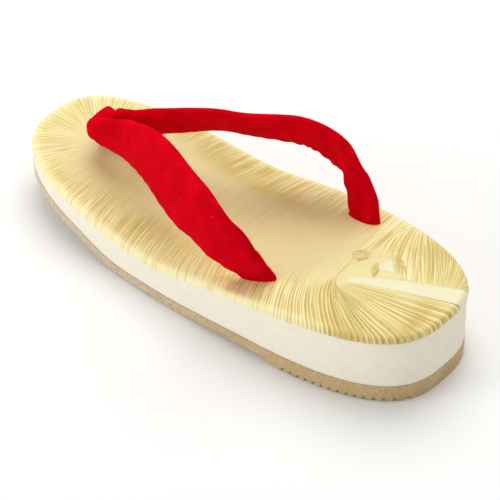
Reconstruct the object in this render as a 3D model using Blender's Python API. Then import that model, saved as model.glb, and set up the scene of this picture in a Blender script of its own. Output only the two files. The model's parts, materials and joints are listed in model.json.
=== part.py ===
"""Tatami sandal: rubber outsole, sponge midsole, woven straw cover, padded strap and toe loop.

Metres. +Y points to the toe, +X to the sandal's right and +Z up. The origin is on the floor,
below the middle of the sole. The sole is the same on its left and right; the strap's left half
goes down into the cover a little further forward than its right one.
"""

import math

import bmesh
import bpy
from mathutils import Vector

# Outline
LENGTH = 0.240
WIDTH = 0.086
TOE_FULLNESS = 2.76
HEEL_FULLNESS = 2.87
HEEL_FLARE_SHARE = 0.02

# Heights above the floor
HEEL_HEIGHT = 0.0372
WAIST_HEIGHT = 0.0196
TOE_HEIGHT = 0.0278
TOE_SPRING = 0.0150
SHANK_LIFT = 0.0030

# Thicknesses
RUBBER = 0.0060
HEEL_BLOCK = 0.0099
COVER = 0.0034
RIM_ROUND = 0.0022
SOLE_EDGE = 0.0006
GLUE_GAP = 0.0003

# Heel block: the share of the length where its front face stands, and that face's slope
BREAST_SHARE = 0.27
BREAST_SLOPE = 0.0090

# Ribs across the rubber
HEEL_RIB_PITCH = 0.0040
HEEL_RIB_DEPTH = 0.0013
HEEL_LAND_SHARE = 0.40
FRONT_RIB_PITCH = 0.0036
FRONT_RIB_DEPTH = 0.0007
FRONT_LAND_SHARE = 0.55
FRONT_RIBS_FROM_SHARE = 0.45
FRONT_RIBS_TO_SHARE = 0.95

# Strips of the woven cover
STRIP_PITCH = 0.0040
STRIP_RAISE = 0.00025
STRIPS_SHARE = 0.86
STRIPS_FADE = 8.0

# Strap: its two halves meet in a fold at the front and run down into the cover at the back
TOE_TO_FOLD = 0.0385
HEEL_TO_REAR = 0.0715
LEFT_FORWARD = 0.0085
STRAP_INSET = 0.0042
STRAP_RISE = 0.0375
STRAP_WIDTH = 0.0262
STRAP_THICKNESS = 0.0064
STRAP_SQUARENESS = 2.6
STRAP_LANDING = 0.0006
CORD_RADIUS = 0.0022
CORD_DEPTH = 0.0080
HOLE_GAP = 0.0003

# Toe loop around the strap's fold
LOOP_WIDTH = 0.0088
LOOP_THICKNESS = 0.0031
LOOP_GAP = 0.0006
LOOP_SQUARENESS = 2.7

# How finely the skins are divided: spacings along the sole, turns in degrees, counts
SOLE_SPACING = 0.008
COVER_SPACING = 0.006
CLOSEST_SPACING = 0.0005
END_ANGLES = (3, 8, 14, 21, 29, 38, 48, 60, 75)
FOLD_ANGLES = (-60, -30, 0, 30, 60)
RIM_SHARES = (0.0, 0.30, 0.60, 0.82, 0.93, 0.965, 0.99, 1.0)
STRAP_STEPS = 28
STRAP_STEP_GROWTH = 1.2
STRAP_SIDES = 14
LANDING_STEPS = 4
LOOP_STEPS = 20
LOOP_SIDES = 10
CORD_SIDES = 16

# Height of the cover's seat: place from the heel as a share of the length, then the shares of
# the heel's and the toe's rise over the waist
SEAT_TABLE = (
    # place, heel, toe
    (0.00, 1.00, 0.00),
    (0.20, 0.80, 0.00),
    (0.40, 0.45, 0.00),
    (0.60, 0.00, 0.00),
    (0.80, 0.00, 0.50),
    (1.00, 0.00, 1.00),
)

# Underside of the rubber ahead of the heel block: shares of the shank's lift and the toe spring
UNDERSIDE_TABLE = (
    # place, shank, toe
    (0.24, 1.00, 0.00),
    (0.32, 1.00, 0.00),
    (0.43, 0.55, 0.00),
    (0.54, 0.00, 0.00),
    (0.66, 0.00, 0.00),
    (0.80, 0.00, 0.46),
    (0.90, 0.00, 0.73),
    (1.00, 0.00, 1.00),
)

# Top of the rubber: shares of the heel block's extra thickness, the shank's lift and the spring
RUBBER_TOP_TABLE = (
    # place, heel, shank, toe
    (0.00, 1.00, 0.00, 0.00),
    (0.20, 0.40, 0.55, 0.00),
    (0.32, 0.00, 1.00, 0.00),
    (0.43, 0.00, 0.55, 0.00),
    (0.54, 0.00, 0.00, 0.00),
    (0.66, 0.00, 0.00, 0.00),
    (0.80, 0.00, 0.00, 0.46),
    (0.90, 0.00, 0.00, 0.73),
    (1.00, 0.00, 0.00, 1.00),
)

# One half of the strap from the fold to its rear end. Place is the share of the way from fold
# to rear end. Spread is a share of the widest half spread, which is the inset in from the sole's
# edge, and the next three are shares of the strap's own sizes. Lean is in degrees
STRAP_TABLE = (
    # place, spread, rise, width, thickness, lean
    (0.000, 0.135, 0.27, 0.37, 0.66, 0.0),
    (0.025, 0.135, 0.31, 0.55, 0.72, 0.0),
    (0.082, 0.165, 0.45, 0.65, 0.90, 7.0),
    (0.194, 0.270, 0.70, 0.78, 1.00, 19.0),
    (0.444, 0.580, 1.00, 0.95, 1.00, 30.0),
    (0.684, 0.890, 0.95, 1.04, 1.00, 23.0),
    (0.850, 1.000, 0.68, 0.96, 0.95, 8.0),
    (0.930, 0.960, 0.42, 0.82, 0.92, -6.0),
    (0.978, 0.880, 0.17, 0.67, 0.90, -21.0),
    (1.000, 0.810, 0.00, 0.60, 0.85, -28.0),
)

MATERIALS = {
    # name: colour, roughness
    "tan_rubber": ((0.52, 0.42, 0.27, 1.0), 0.75),
    "white_sponge": ((0.84, 0.82, 0.76, 1.0), 0.85),
    "woven_straw": ((0.82, 0.68, 0.37, 1.0), 0.55),
    "red_velvet": ((0.50, 0.005, 0.012, 1.0), 0.90),
}


def rise_between(first, second, column):
    """Slope of a column between two rows, or nothing when they are the same row."""
    step = second[0] - first[0]
    return (second[column] - first[column]) / step if step else 0.0


def smooth_rows(rows, place):
    """The rows' other columns at this place, on smooth curves that don't overshoot the rows."""
    place = min(max(place, rows[0][0]), rows[-1][0])
    last = len(rows) - 1
    index = 0
    while index < last - 1 and place > rows[index + 1][0]:
        index += 1
    step = rows[index + 1][0] - rows[index][0]
    t = (place - rows[index][0]) / step
    values = []
    for column in range(1, len(rows[0])):
        slopes = []
        for row in (index, index + 1):
            before = max(row - 1, 0)
            after = min(row + 1, last)
            low = rise_between(rows[before], rows[row], column)
            high = rise_between(rows[row], rows[after], column)
            if before == row:
                slope = high
            elif after == row:
                slope = low
            elif low * high <= 0.0:
                slope = 0.0
            else:
                slope = 2.0 * low * high / (low + high)
            slopes.append(slope * step)
        start = rows[index][column]
        end = rows[index + 1][column]
        values.append(
            start * (2 * t**3 - 3 * t**2 + 1)
            + slopes[0] * (t**3 - 2 * t**2 + t)
            + end * (3 * t**2 - 2 * t**3)
            + slopes[1] * (t**3 - t**2)
        )
    return values


def share(y):
    """Place from the heel as a share of the length."""
    return y / LENGTH + 0.5


def place_y(along):
    return (along - 0.5) * LENGTH


def fullness(y):
    return TOE_FULLNESS if y > 0.0 else HEEL_FULLNESS


def reach(y):
    """Half length of the whole oval, which the two blunt ends cut off a little short."""
    return LENGTH / 2 / math.cos(math.radians(END_ANGLES[0])) ** (2.0 / fullness(y))


def half_width(y):
    """Half of the sole's width: a full oval, a little wider at the heel."""
    v = min(abs(y) / reach(y), 1.0)
    n = fullness(y)
    flare = 1.0 - HEEL_FLARE_SHARE * y / (LENGTH / 2)
    return WIDTH / 2 * flare * (1.0 - v**n) ** (1.0 / n)


def edge_distance(x, y):
    """About how far a point is inside the outline."""
    n = fullness(y)
    a = WIDTH / 2
    b = reach(y)
    flare = 1.0 - HEEL_FLARE_SHARE * y / (LENGTH / 2)
    u = abs(x) / (a * flare)
    v = abs(y) / b
    inside = 1.0 - u**n - v**n
    slope = n * math.hypot(u ** (n - 1) / a, v ** (n - 1) / b)
    return inside / max(slope, 1.0 / a)


def seat(y):
    """Height of the midsole's top, where the cover sits."""
    heel, toe = smooth_rows(SEAT_TABLE, share(y))
    return WAIST_HEIGHT + heel * (HEEL_HEIGHT - WAIST_HEIGHT) + toe * (TOE_HEIGHT - WAIST_HEIGHT)


def cover_top(y):
    return seat(y) + COVER


def rubber_top(y):
    heel, shank, toe = smooth_rows(RUBBER_TOP_TABLE, share(y))
    return RUBBER + heel * (HEEL_BLOCK - RUBBER) + shank * SHANK_LIFT + toe * TOE_SPRING


def tread_floor(y):
    """Height of the rubber's underside, on the lands of its ribs."""
    breast = place_y(BREAST_SHARE)
    shank, toe = smooth_rows(UNDERSIDE_TABLE, share(y))
    ahead = shank * SHANK_LIFT + toe * TOE_SPRING
    return ahead * min(max((y - breast) / BREAST_SLOPE, 0.0), 1.0)


def rib_groove(y, start, pitch, land):
    """Depth share of the groove at y: nothing on a rib's land, one at a groove's root."""
    phase = ((y - start) / pitch) % 1.0
    if phase <= land:
        return 0.0
    return 1.0 - abs(2.0 * (phase - land) / (1.0 - land) - 1.0)


def rib_stations(start, end, pitch, land):
    stations = []
    for rib in range(int((end - start) / pitch)):
        for corner in (0.0, land, (1.0 + land) / 2):
            stations.append(start + (rib + corner) * pitch)
    return stations


def heel_ribs():
    return -LENGTH / 2 + HEEL_RIB_PITCH / 2, place_y(BREAST_SHARE) - HEEL_RIB_PITCH / 2


def front_ribs():
    return place_y(FRONT_RIBS_FROM_SHARE), place_y(FRONT_RIBS_TO_SHARE)


def tread(y):
    """Height of the rubber's underside, with its ribs."""
    height = tread_floor(y)
    start, end = heel_ribs()
    whole = start + int((end - start) / HEEL_RIB_PITCH) * HEEL_RIB_PITCH
    if start <= y <= whole:
        return height + HEEL_RIB_DEPTH * rib_groove(y, start, HEEL_RIB_PITCH, HEEL_LAND_SHARE)
    start, end = front_ribs()
    whole = start + int((end - start) / FRONT_RIB_PITCH) * FRONT_RIB_PITCH
    if start <= y <= whole:
        return height + FRONT_RIB_DEPTH * rib_groove(y, start, FRONT_RIB_PITCH, FRONT_LAND_SHARE)
    return height


def strip_raise(y):
    """Raise of the cover's strips, which run straight across it."""
    fade = min(max((STRIPS_SHARE - abs(y) / (LENGTH / 2)) * STRIPS_FADE, 0.0), 1.0)
    return STRIP_RAISE * fade * math.cos(2.0 * math.pi * y / STRIP_PITCH)


def stations(spacing, extra=()):
    """Places along the sole: the given ones, those that round the two ends, and even steps."""
    chosen = sorted(extra)
    ends = []
    for angle in END_ANGLES:
        turn = math.cos(math.radians(angle)) / math.cos(math.radians(END_ANGLES[0]))
        for side in (-1, 1):
            ends.append(side * LENGTH / 2 * turn ** (2.0 / fullness(side)))
    steps = int(LENGTH / spacing)
    middle = [(step - steps / 2) * spacing for step in range(1, steps)]
    for y in ends + middle:
        nearest = spacing / 3 if y in middle else CLOSEST_SPACING
        if abs(y) <= LENGTH / 2 and all(abs(y - other) > nearest for other in chosen):
            chosen.append(y)
    return sorted(chosen)


def material(name):
    colour, roughness = MATERIALS[name]
    made = bpy.data.materials.new(name)
    made.use_nodes = True
    shader = made.node_tree.nodes["Principled BSDF"]
    shader.inputs["Base Color"].default_value = colour
    shader.inputs["Roughness"].default_value = roughness
    shader.inputs["Metallic"].default_value = 0.0
    made.diffuse_color = colour
    return made


def add_object(name, mesh_data, finish, smooth_angle):
    mesh = bpy.data.meshes.new(name)
    bmesh.ops.recalc_face_normals(mesh_data, faces=mesh_data.faces)
    mesh_data.to_mesh(mesh)
    mesh_data.free()
    thing = bpy.data.objects.new(name, mesh)
    bpy.context.scene.collection.objects.link(thing)
    if finish:
        mesh.materials.append(finish)
        mesh.shade_smooth()
        mesh.set_sharp_from_angle(angle=math.radians(smooth_angle))
    return thing


def skin(rings, closed=False):
    """A skin through rings of points, with flat ends unless it closes on itself."""
    shape = bmesh.new()
    loops = [[shape.verts.new(point) for point in ring] for ring in rings]
    count = len(loops[0])
    pairs = list(zip(loops, loops[1:]))
    if closed:
        pairs.append((loops[-1], loops[0]))
    for first, second in pairs:
        for index in range(count):
            after = (index + 1) % count
            shape.faces.new((first[index], first[after], second[after], second[index]))
    if not closed:
        shape.faces.new(loops[0])
        shape.faces.new(loops[-1])
    return shape


def cut(target, cutter):
    """Cuts the target with a hidden cutter."""
    cutter.hide_render = True
    cutter.display_type = "WIRE"
    change = target.modifiers.new(cutter.name, "BOOLEAN")
    change.operation = "DIFFERENCE"
    change.solver = "EXACT"
    change.object = cutter


def join(target, piece):
    """Joins a piece to the target and keeps the piece itself hidden."""
    piece.hide_render = True
    piece.display_type = "WIRE"
    change = target.modifiers.new(piece.name, "BOOLEAN")
    change.operation = "UNION"
    change.solver = "EXACT"
    change.object = piece


def post(name, x, y, low, high, radius):
    """An upright round post, as a cord or the hole for one."""
    shape = bmesh.new()
    bmesh.ops.create_cone(
        shape, cap_ends=True, segments=CORD_SIDES, radius1=radius, radius2=radius, depth=high - low
    )
    bmesh.ops.translate(shape, verts=shape.verts, vec=(x, y, (low + high) / 2))
    return add_object(name, shape, None, 30)


def sole_ring(y, low, high, edge):
    """One upright section of a sole layer, with small chamfers along its lower edges."""
    half = half_width(y)
    inner = half - min(edge, half / 2)
    bevel = min(edge, (high - low) / 3)
    return [
        Vector((-inner, y, low)),
        Vector((inner, y, low)),
        Vector((half, y, low + bevel)),
        Vector((half, y, high)),
        Vector((-half, y, high)),
        Vector((-half, y, low + bevel)),
    ]


def make_outsole():
    heel = rib_stations(*heel_ribs(), HEEL_RIB_PITCH, HEEL_LAND_SHARE)
    front = rib_stations(*front_ribs(), FRONT_RIB_PITCH, FRONT_LAND_SHARE)
    breast = [place_y(BREAST_SHARE), place_y(BREAST_SHARE) + BREAST_SLOPE]
    places = stations(SOLE_SPACING, heel + front + breast)
    rings = [sole_ring(y, tread(y), rubber_top(y), SOLE_EDGE) for y in places]
    return add_object("outsole", skin(rings), material("tan_rubber"), 25)


def make_midsole():
    rings = []
    for y in stations(SOLE_SPACING):
        rings.append(drop_repeats(sole_ring(y, rubber_top(y) + GLUE_GAP, seat(y), 0.0)))
    return add_object("midsole", skin(rings), material("white_sponge"), 35)


def drop_repeats(ring):
    """The ring without points that fall on the one before."""
    return [point for index, point in enumerate(ring) if (point - ring[index - 1]).length > 1e-7]


def cover_ring(y):
    """One section of the cover: flat below, strips on top, and a round rim."""
    half = half_width(y)
    low = seat(y) + GLUE_GAP
    top = cover_top(y)
    upper = []
    for across in RIM_SHARES:
        x = half * across
        inside = min(max(edge_distance(x, y), 0.0), RIM_ROUND)
        fall = RIM_ROUND - math.sqrt(max(RIM_ROUND**2 - (RIM_ROUND - inside) ** 2, 0.0))
        upper.append((x, top - fall + strip_raise(y)))
    ring = [Vector((-x, y, z)) for x, z in upper[:0:-1]]
    ring += [Vector((x, y, z)) for x, z in upper]
    return ring + [Vector((half, y, low)), Vector((-half, y, low))]


def make_cover():
    strips = int(LENGTH * STRIPS_SHARE / STRIP_PITCH)
    crests = [(strip - strips) * STRIP_PITCH / 2 for strip in range(2 * strips + 1)]
    rings = [cover_ring(y) for y in stations(COVER_SPACING, crests)]
    return add_object("cover", skin(rings), material("woven_straw"), 40)


def fold_y():
    """Place of the fold's straight ends, set off from the toe."""
    return LENGTH / 2 - TOE_TO_FOLD


def strap_run():
    """How far the right half runs back from the fold."""
    return LENGTH - TOE_TO_FOLD - HEEL_TO_REAR


def strap_frame(place, side):
    """Centre, width, thickness and lean of one half at a share of the way from the fold."""
    spread, rise, width, thickness, lean = smooth_rows(STRAP_TABLE, place)
    y = fold_y() - strap_run() * place
    if side < 0:
        y += LEFT_FORWARD * place**2
    x = side * (WIDTH / 2 - STRAP_INSET) * spread
    centre = Vector((x, y, cover_top(y) + STRAP_RISE * rise))
    return centre, STRAP_WIDTH * width, STRAP_THICKNESS * thickness, math.radians(lean)


def round_power(value, squareness):
    """A sine or cosine, made fuller, so that an oval comes out squarer."""
    return math.copysign(abs(value) ** (2.0 / squareness), value)


def strap_section(centre, along, width, thickness, lean):
    """A padded, full section of the strap, stood on edge and leaning over the foot."""
    along = along.normalized()
    inward = Vector((along.y, -along.x, 0.0)).normalized()
    up = Vector((0.0, 0.0, 1.0)) * math.cos(lean) + inward * math.sin(lean)
    up = (up - along * up.dot(along)).normalized()
    side = along.cross(up)
    ring = []
    for index in range(STRAP_SIDES):
        turn = 2.0 * math.pi * index / STRAP_SIDES
        tall = round_power(math.cos(turn), STRAP_SQUARENESS)
        ring.append(centre + up * tall * width / 2 + side * math.sin(turn) * thickness / 2)
    return ring


def strap_half(side):
    """Centre line of one half with its sizes, in steps that are closer together at the fold."""
    places = [(step / STRAP_STEPS) ** STRAP_STEP_GROWTH for step in range(STRAP_STEPS + 1)]
    return [strap_frame(place, side) for place in places]


def fold_turn():
    """The centre line around the fold, from the left half to the right one."""
    centre, width, thickness, _ = strap_frame(0.0, 1)
    radius = centre.x
    turn = []
    for angle in FOLD_ANGLES:
        bend = math.radians(angle)
        point = Vector((radius * math.sin(bend), centre.y + radius * math.cos(bend), centre.z))
        turn.append((point, width, thickness, 0.0))
    return turn


def fold_apex():
    """Centre, width and thickness of the strap at the very front of its fold."""
    return fold_turn()[len(FOLD_ANGLES) // 2][:3]


def rear_cord_place(side):
    centre = strap_frame(1.0, side)[0]
    return centre.x, centre.y


def crotch_half_gap(y):
    """Half of the free width between the two halves, from the fold back to y."""
    place = (fold_y() - y) / strap_run()
    free = []
    for back in (0.0, place / 2, place):
        centre, _, thickness, _ = strap_frame(back, 1)
        free.append(centre.x - thickness / 2)
    return min(free)


def strap_floor(y):
    """Height just above the cover, where the strap ends."""
    return cover_top(y) + STRIP_RAISE + GLUE_GAP


def land(ring, along):
    """The ring slid along the strap until each of its points lies just above the cover."""
    landed = []
    for point in ring:
        for _ in range(LANDING_STEPS):
            point = point + along * (strap_floor(point.y) - point.z) / along.z
        landed.append(point)
    return landed


def strap_rings(side):
    """Sections of one half from the fold back, of which the last one lies on the cover."""
    course = strap_half(side)
    rings = []
    for index, (centre, width, thickness, lean) in enumerate(course):
        before = course[max(index - 1, 0)][0]
        after = course[min(index + 1, len(course) - 1)][0]
        along = (after - before) * side
        ring = strap_section(centre, along, width, thickness, lean)
        if index == len(course) - 1:
            rings.append(land(ring, along.normalized()))
        elif all(point.z > strap_floor(point.y) + STRAP_LANDING for point in ring):
            rings.append(ring)
    return rings


def make_strap():
    turn = fold_turn()
    fold = []
    for index, (centre, width, thickness, lean) in enumerate(turn):
        before = turn[max(index - 1, 0)][0]
        after = turn[min(index + 1, len(turn) - 1)][0]
        fold.append(strap_section(centre, after - before, width, thickness, lean))
    rings = strap_rings(-1)[::-1] + fold + strap_rings(1)
    strap = add_object("strap", skin(rings), material("red_velvet"), 60)
    for side, name in ((-1, "left"), (1, "right")):
        x, y = rear_cord_place(side)
        top = cover_top(y) + CORD_RADIUS
        join(strap, post("cord_" + name, x, y, cover_top(y) - CORD_DEPTH, top, CORD_RADIUS))
    return strap


def make_toe_loop():
    """A band around the fold's front, with a cord that runs down into the cover."""
    centre, width, thickness = fold_apex()
    tall = width / 2 + LOOP_GAP + LOOP_THICKNESS / 2
    deep = thickness / 2 + LOOP_GAP + LOOP_THICKNESS / 2
    behind = 2.0 * (crotch_half_gap(centre.y - deep - LOOP_THICKNESS / 2) - LOOP_GAP)
    rings = []
    for index in range(LOOP_STEPS):
        turn = 2.0 * math.pi * index / LOOP_STEPS
        across = round_power(math.sin(turn), LOOP_SQUARENESS)
        upward = round_power(math.cos(turn), LOOP_SQUARENESS)
        out = Vector((0.0, across * tall, upward * deep)).normalized()
        middle = centre + Vector((0.0, across * deep, upward * tall))
        front = min(max(0.5 + across, 0.0), 1.0)
        wide = behind + (LOOP_WIDTH - behind) * front
        ring = []
        for step in range(LOOP_SIDES):
            angle = 2.0 * math.pi * step / LOOP_SIDES
            sideways = Vector((math.cos(angle) * wide / 2, 0.0, 0.0))
            ring.append(middle + sideways + out * math.sin(angle) * LOOP_THICKNESS / 2)
        rings.append(ring)
    loop = add_object("toe_loop", skin(rings, closed=True), material("red_velvet"), 60)
    low = cover_top(centre.y) - CORD_DEPTH
    join(loop, post("cord_toe", 0.0, centre.y, low, centre.z - tall, CORD_RADIUS))
    return loop


def cord_holes():
    """Place of each cord that goes down through the cover."""
    return (
        ("toe", 0.0, fold_apex()[0].y),
        ("left", *rear_cord_place(-1)),
        ("right", *rear_cord_place(1)),
    )


def drill(cover, midsole):
    for name, x, y in cord_holes():
        radius = CORD_RADIUS + HOLE_GAP
        low = cover_top(y) - CORD_DEPTH - HOLE_GAP
        high = cover_top(y) + COVER
        cut(cover, post("cover_hole_" + name, x, y, seat(y) - COVER, high, radius))
        cut(midsole, post("midsole_hole_" + name, x, y, low, high, radius))


def clear_scene():
    for thing in list(bpy.data.objects):
        bpy.data.objects.remove(thing, do_unlink=True)


def main():
    clear_scene()
    make_outsole()
    midsole = make_midsole()
    cover = make_cover()
    drill(cover, midsole)
    make_strap()
    make_toe_loop()


main()
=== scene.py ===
"""Looks of one tatami sandal: plaited straw on a white sponge wedge, ribbed rubber, red velvet."""

import json
import math

import bpy
import numpy as np
from bpy.props import FloatProperty, FloatVectorProperty, IntProperty, PointerProperty
from bpy.types import Operator, Panel, PropertyGroup
from mathutils import Matrix, Vector, noise

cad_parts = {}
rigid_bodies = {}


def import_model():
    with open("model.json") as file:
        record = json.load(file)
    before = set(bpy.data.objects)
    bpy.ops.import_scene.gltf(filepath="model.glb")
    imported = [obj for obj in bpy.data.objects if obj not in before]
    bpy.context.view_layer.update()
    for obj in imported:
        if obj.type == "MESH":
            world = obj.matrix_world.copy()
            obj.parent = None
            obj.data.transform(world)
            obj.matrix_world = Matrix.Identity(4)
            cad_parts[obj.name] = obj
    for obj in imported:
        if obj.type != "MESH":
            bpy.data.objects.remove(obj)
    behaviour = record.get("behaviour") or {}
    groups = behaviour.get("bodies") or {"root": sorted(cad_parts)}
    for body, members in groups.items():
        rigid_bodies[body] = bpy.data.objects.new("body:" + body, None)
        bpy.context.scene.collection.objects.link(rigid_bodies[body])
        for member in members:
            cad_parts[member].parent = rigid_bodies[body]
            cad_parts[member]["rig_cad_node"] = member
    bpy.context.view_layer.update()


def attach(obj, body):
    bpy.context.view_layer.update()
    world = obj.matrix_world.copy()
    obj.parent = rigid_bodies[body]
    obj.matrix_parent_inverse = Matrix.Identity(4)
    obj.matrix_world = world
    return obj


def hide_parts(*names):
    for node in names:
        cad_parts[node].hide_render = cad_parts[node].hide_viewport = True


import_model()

bl_info = {
    "name": "Tatami sandal",
    "version": (1, 0, 0),
    "blender": (4, 5, 0),
    "location": "3D View > Sidebar > Sandal",
    "description": "Makes the straw, sponge, rubber and velvet of one tatami sandal",
    "category": "Object",
}

BODY = "root"
MM = 0.001
UP = np.array((0.0, 0.0, 1.0))

# Sizes of the solids that these pieces stand for, in metres
LENGTH = 0.240
WIDTH = 0.086
TOE_FULLNESS = 2.76
HEEL_FULLNESS = 2.87
HEEL_FLARE_SHARE = 0.02
END_ANGLE = 3.0
HEEL_HEIGHT = 0.0372
WAIST_HEIGHT = 0.0196
TOE_HEIGHT = 0.0278
TOE_SPRING = 0.0150
SHANK_LIFT = 0.0030
RUBBER = 0.0060
HEEL_BLOCK = 0.0099
COVER = 0.0034
RIM_ROUND = 0.0022
SOLE_EDGE = 0.0006
GLUE_GAP = 0.0003
BREAST_SHARE = 0.27
BREAST_SLOPE = 0.0090
HEEL_RIB_PITCH = 0.0040
FRONT_RIB_PITCH = 0.0036
FRONT_RIB_DEPTH = 0.0007
FRONT_LAND_SHARE = 0.55
FRONT_RIBS = (0.45, 0.95)
TOE_TO_FOLD = 0.0385
HEEL_TO_REAR = 0.0715
LEFT_FORWARD = 0.0085
STRAP_INSET = 0.0042
STRAP_RISE = 0.0375
STRAP_WIDTH = 0.0262
STRAP_THICKNESS = 0.0064
STRAP_SQUARENESS = 2.6

# Heel: ribs deeper than the solid's, and layers drawn in a little below the rim at the back
HEEL_RIB_DEPTH = 0.0022
HEEL_LAND_SHARE = 0.26
HEEL_TAPER = 0.0022
HEEL_TAPER_FROM = -0.078
HEEL_TAPER_RUN = 0.042
HEEL_NARROWING = 0.02

# Soft hollow in the wedge's side
WEDGE_HOLLOW = 0.00035
WEDGE_LEVELS = (0.0, 0.03, 0.10, 0.30, 0.50, 0.70, 0.90, 0.97, 1.0)

# Toe loop: a band, broader than the solid's, whose neck goes down into the cover
LOOP_WIDTH = 0.0118
LOOP_THICKNESS = 0.0026
LOOP_SQUARENESS = 2.1
LOOP_BEHIND = 0.0045
LOOP_ASIDE = 0.0012
LOOP_CREASE = 0.00045
NECK_NARROWING = 0.38
NECK_DRAWN_IN = 2.3
BAND_SQUARENESS = 3.2

# Place from the heel, then shares of the heel's and the toe's rise over the waist
SEAT = np.array(
    (
        (0.00, 1.00, 0.00),
        (0.20, 0.80, 0.00),
        (0.40, 0.45, 0.00),
        (0.60, 0.00, 0.00),
        (0.80, 0.00, 0.50),
        (1.00, 0.00, 1.00),
    )
)
# Place, then shares of the shank's lift and the toe spring
UNDERSIDE = np.array(
    (
        (0.24, 1.00, 0.00),
        (0.32, 1.00, 0.00),
        (0.43, 0.55, 0.00),
        (0.54, 0.00, 0.00),
        (0.66, 0.00, 0.00),
        (0.80, 0.00, 0.46),
        (0.90, 0.00, 0.73),
        (1.00, 0.00, 1.00),
    )
)
# Place, then shares of the heel block, the shank's lift and the toe spring
RUBBER_TOP = np.array(
    (
        (0.00, 1.00, 0.00, 0.00),
        (0.20, 0.40, 0.55, 0.00),
        (0.32, 0.00, 1.00, 0.00),
        (0.43, 0.00, 0.55, 0.00),
        (0.54, 0.00, 0.00, 0.00),
        (0.66, 0.00, 0.00, 0.00),
        (0.80, 0.00, 0.00, 0.46),
        (0.90, 0.00, 0.00, 0.73),
        (1.00, 0.00, 0.00, 1.00),
    )
)
# Place from the fold to the rear, then spread, rise, width, thickness and lean in degrees
STRAP = np.array(
    (
        (0.000, 0.135, 0.27, 0.37, 0.66, 0.0),
        (0.025, 0.135, 0.31, 0.55, 0.72, 0.0),
        (0.082, 0.165, 0.45, 0.65, 0.90, 7.0),
        (0.194, 0.270, 0.70, 0.78, 1.00, 19.0),
        (0.444, 0.580, 1.00, 0.95, 1.00, 30.0),
        (0.684, 0.890, 0.95, 1.04, 1.00, 23.0),
        (0.850, 1.000, 0.68, 0.96, 0.95, 8.0),
        (0.930, 0.960, 0.42, 0.82, 0.92, -6.0),
        (0.978, 0.880, 0.17, 0.67, 0.90, -21.0),
        (1.000, 0.810, 0.00, 0.60, 0.85, -28.0),
    )
)

# How much fuller each half is beside the fold: width, thickness, then lift, shift aside and
# ahead, and over what share of the half this fades
FOLD_FULL = {-1: (0.08, 0.40, 0.0054, -0.0030, 0.0024), 1: (0.20, 0.15, 0.0032, 0.0, 0.0)}
FOLD_REACH = 0.075
# The fold's arc: angles in degrees, bulge as a share of its radius, drop, and how far it is
# drawn in
FOLD_ANGLES = (-72, -54, -36, -18, 0, 18, 36, 54, 72)
FOLD_BULGE = 0.55
FOLD_DROP = 0.0012
FOLD_DRAWN_IN = 0.22
# How far the rear end of each half lies inward and forward of the solid one, and how much the
# base of its lower edge spreads over the last share of the way
REAR_END = {-1: (0.0045, 0.0052, 0.0), 1: (0.0, 0.0, 0.0024)}
BASE_FROM = 0.94
# Soft changes along each half: place, reach, then width and shifts inward, forward and up
EASED = {
    -1: (),
    1: (
        (0.35, 0.40, -0.09, 0.0, 0.0, -0.0006),
        (0.93, 0.06, -0.12, 0.0010, 0.0010, 0.0),
    ),
}
# Gathers on the right half's lower seam and the notch behind them: place, reach and depth
GATHERS = (0.72, 0.16, 1.5)
NOTCH = (0.895, 0.016, 2.4)
# Unevenness of the velvet: height and how fine
SOFT_BUMPS = (0.00022, 55.0)
FINE_BUMPS = (0.00010, 3.1)
# The strap's ends: how far its skin starts above the cover, how deep it goes into it, how much
# of the longest way down to the cover any side may take, and how deep a section may lie in
# the cover before it is left out
FOOT_ABOVE = 0.0003
FOOT_BELOW = 0.0005
FOOT_REACH = 0.45
RING_MARGIN = 0.0002

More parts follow.
